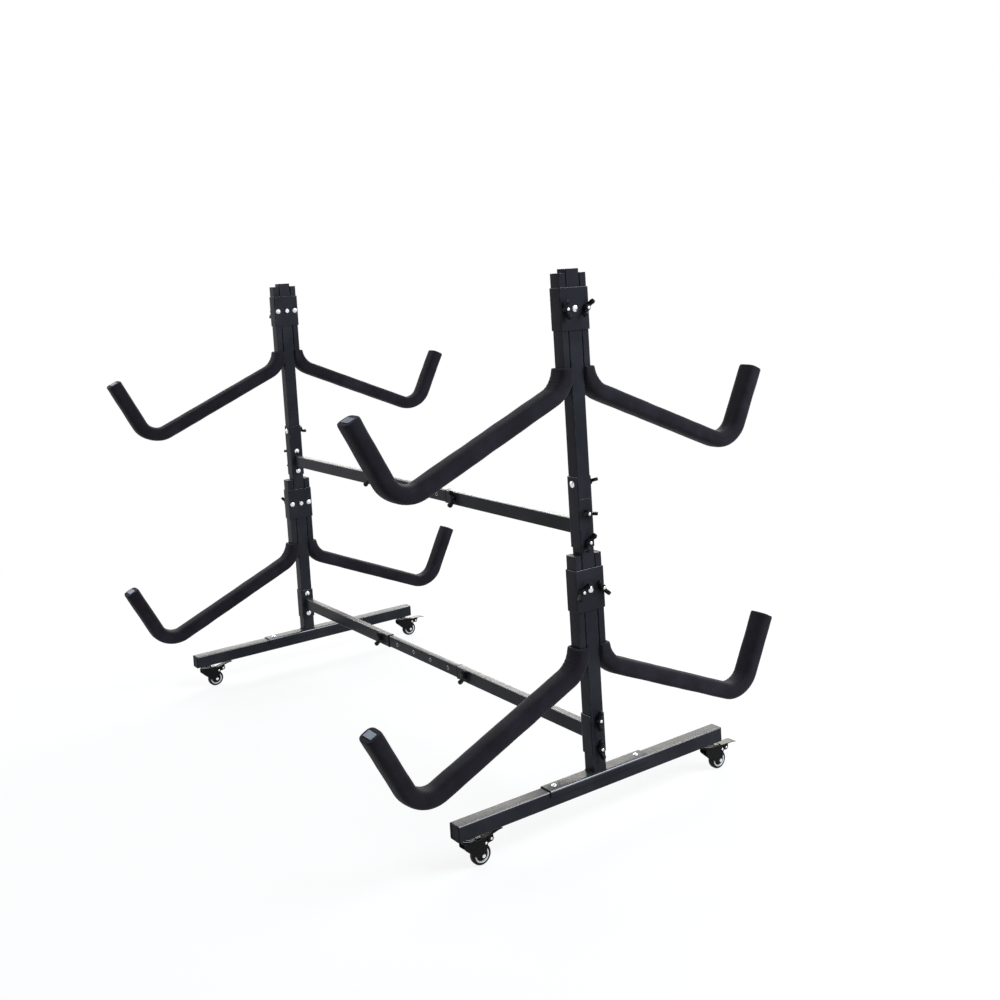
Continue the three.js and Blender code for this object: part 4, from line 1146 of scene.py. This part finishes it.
# Stations of the plate from front to tip: place along Y, height of the underside, half width
PEDAL_STATIONS = [
    (0.0006, 0.0062, 0.0106), (0.0018, 0.0083, 0.0108), (0.004, 0.0085, 0.0112),
    (0.019, 0.0085, 0.0112), (0.0235, 0.0085, 0.0128), (0.038, 0.0085, 0.013),
    (0.0405, 0.0081, 0.013), (0.0485, 0.0062, 0.0126), (0.0512, 0.0048, 0.0112),
]
LIFTS = {"left": math.radians(15), "right": 0}  # the left casters' pedals stand tipped up
strip = [
    [(-half, y, z), (half, y, z), (half, y, z + PEDAL_PLATE), (-half, y, z + PEDAL_PLATE)]
    for y, z, half in PEDAL_STATIONS
]
pedal_plate = meshed("pedal_plate", broken(skinned(strip), 0.0004))
cheek_outline = [(-0.0062, PEDAL_UNDER + 0.0002), (-0.0062, 0.001)]
cheek_outline += arc_points((0, 0), CHEEK_ROUND, 190, 280, 6)
cheek_outline += arc_points((PEDAL_RIVET, 0), LOBE_ROUND, 250, 370, 9)
cheek_outline += [(0.0236, 0.005), (0.0236, PEDAL_UNDER + 0.0002)]
cheek_sides = [
    moved(broken(plate(cheek_outline, start, end), 0.0004), INTO_SIDE)
    for start, end in ((CHEEK_INSIDE, CHEEK), (-CHEEK, -CHEEK_INSIDE))
]
shoe_outline = [(-CHEEK, 0.006), (CHEEK, 0.006), (CHEEK, 0.008), (-CHEEK, 0.008)]
shoe_block = plate(shoe_outline, -0.0042, PEDAL_UNDER + 0.0002)
pedal_cheeks = meshed("pedal_cheeks", joined(*cheek_sides, shoe_block))

# %% Put the casters together
for side in SIDES:
    for hand in ("left", "right"):
        name = f"{side}_{hand}"
        caster, wheel, brake = f"{name}_caster", f"{name}_wheel", f"{name}_brake"
        pedal = f"{brake}_pedal"
        swivel = turning[caster]["pos_m"]
        at = to(swivel[0], swivel[1], 0)
        axle = at @ to(0, TRAIL, AXLE_HEIGHT)
        pivot = at @ to(0, PIVOT_Y, PIVOT_Z)
        lifted = pivot @ Matrix.Rotation(LIFTS[hand], 4, "X")
        put(f"{name}_fork_steel", fork, fork_paint, caster, at, (f"{name}_fork",))
        put(f"{name}_race_ring", race_ring, bright_zinc, caster, at)
        put(f"{name}_axle_rod", axle_rod, bright_zinc, caster, axle)
        put(f"{name}_crown_tab", crown_tab, dull_zinc, caster, at)
        put(f"{name}_tyre", tyre, tyre_rubber, wheel, axle, (wheel,))
        put(f"{name}_hub_ring", hub_ring, hub_plastic, wheel, axle)
        put(f"{name}_wheel_hub", wheel_hub, cap_plastic, wheel, axle)
        put(f"{pedal}_plate", pedal_plate, pedal_zinc, brake, lifted, (pedal,))
        put(f"{pedal}_cheeks", pedal_cheeks, fork_paint, brake, lifted)
        for way, end in ((1, "out"), (-1, "in")):
            face = along((way, 0, 0))
            side_at = to(way * LEG_OUTSIDE, 0, 0) @ face
            cheek_at = to(way * CHEEK, PEDAL_RIVET, 0) @ face
            put(f"{name}_axle_nut_{end}", axle_nut, bright_zinc, caster, axle @ side_at)
            put(f"{name}_brake_rivet_{end}", rivet, bright_zinc, caster, pivot @ side_at)
            put(f"{name}_pedal_rivet_{end}", rivet, bright_zinc, brake, lifted @ cheek_at)
print("casters", pieces_named("_fork_steel"))

# %% [markdown]
# ## Floor and light
# The studio is a pale floor that fades to white a few metres out. One large soft light hangs
# high at the front right. Three more stand behind the rack: the high panel lays the beige sheen
# on the tops of the near foot and saddle, the low panel does so on the crossbars and the far
# foot, and a cool light draws the line along the crossbars' upper edges. The white surround is
# only what is seen or mirrored. It could also be had from stronger lamps, but then black parts
# would turn grey.

# %% Lay the floor
studio = Finish("studio_floor")
FLOOR_HALF = 40.0
floor_mesh = bpy.data.meshes.new("floor")
corners = [(x * FLOOR_HALF, y * FLOOR_HALF, 0) for x, y in ((-1, -1), (1, -1), (1, 1), (-1, 1))]
floor_mesh.from_pydata(corners, [], [(0, 1, 2, 3)])
floor = bpy.data.objects.new("floor", floor_mesh)
floor_mesh.materials.append(studio.material)
bpy.context.scene.collection.objects.link(floor)
floor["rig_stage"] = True

FLOOR_COLOUR = (0.84, 0.84, 0.84, 1)
WHITE = (1, 1, 1, 1)
SEEN_WHITE = ("Camera", "Glossy", "Transmission")
NEAR_WHITE = 0.84  # the share of plain white near the rack, which leaves room for its shadow
FADE_START, FADE_END = 1.1, 3.4
from_middle = studio.node("VectorMath", {"operation": "LENGTH"}, {0: studio.place}, output="Value")
far_out = studio.step(from_middle, FADE_START, FADE_END)
white_share = studio.rays(*SEEN_WHITE) * (NEAR_WHITE + far_out * (1 - NEAR_WHITE))
lit = studio.node("BsdfDiffuse", {}, {"Color": FLOOR_COLOUR})
white = studio.node("Emission", {}, {"Color": WHITE, "Strength": 1.0})
studio.show("Material Output", studio.node("MixShader", {}, {0: white_share, 1: lit, 2: white}))


# %% Hang the lights
def soft_light(name, place, aim, size, power, colour):
    lamp = bpy.data.lights.new(name, "AREA")
    lamp.shape = "RECTANGLE"
    lamp.size, lamp.size_y = size
    lamp.energy = power
    lamp.color = colour
    holder = bpy.data.objects.new(name, lamp)
    holder.location = place
    holder.rotation_euler = (Vector(aim) - Vector(place)).to_track_quat("-Z", "Y").to_euler()
    holder.visible_camera = False
    bpy.context.scene.collection.objects.link(holder)


COOL = (0.8, 0.9, 1.0)
WARM = (1.0, 0.97, 0.9)
soft_light("key_light", (2.9, 1.7, 3.1), (0, 0, 0.6), (2.6, 2.6), 200, COOL)
soft_light("edge_light", (-3.5, -1.7, 2.6), (0, 0, 0.4), (1.7, 1.3), 65, COOL)
soft_light("high_panel", (-3.4, 3.8, 2.6), (0.7, 0, 0.3), (3.4, 2.0), 205, WARM)
soft_light("low_panel", (-3.4, 1.3, 1.05), (0.0, -0.2, 0.3), (2.7, 1.3), 55, WARM)

WORLD_LIGHT = 0.32
world = bpy.data.worlds.new("studio_air")
bpy.context.scene.world = world
world.use_nodes = True
air = Wiring(world.node_tree)
dim_air = air.node("Background", {}, {"Color": WHITE, "Strength": WORLD_LIGHT})
white_air = air.node("Background", {}, {"Color": WHITE, "Strength": 1.0})
both_airs = {0: air.rays(*SEEN_WHITE), 1: dim_air, 2: white_air}
air.show("World Output", air.node("MixShader", {}, both_airs))
bpy.context.scene.view_settings.view_transform = "Standard"
print("lights", len(bpy.data.lights))

# %% [markdown]
# ## Closing the notebook
# The last cell prints the box of the dressed rack.

# %% Print the dressed box
bpy.context.view_layer.update()
low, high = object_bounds()
print("dressed box", [round(v, 4) for v in (*low, *high)])
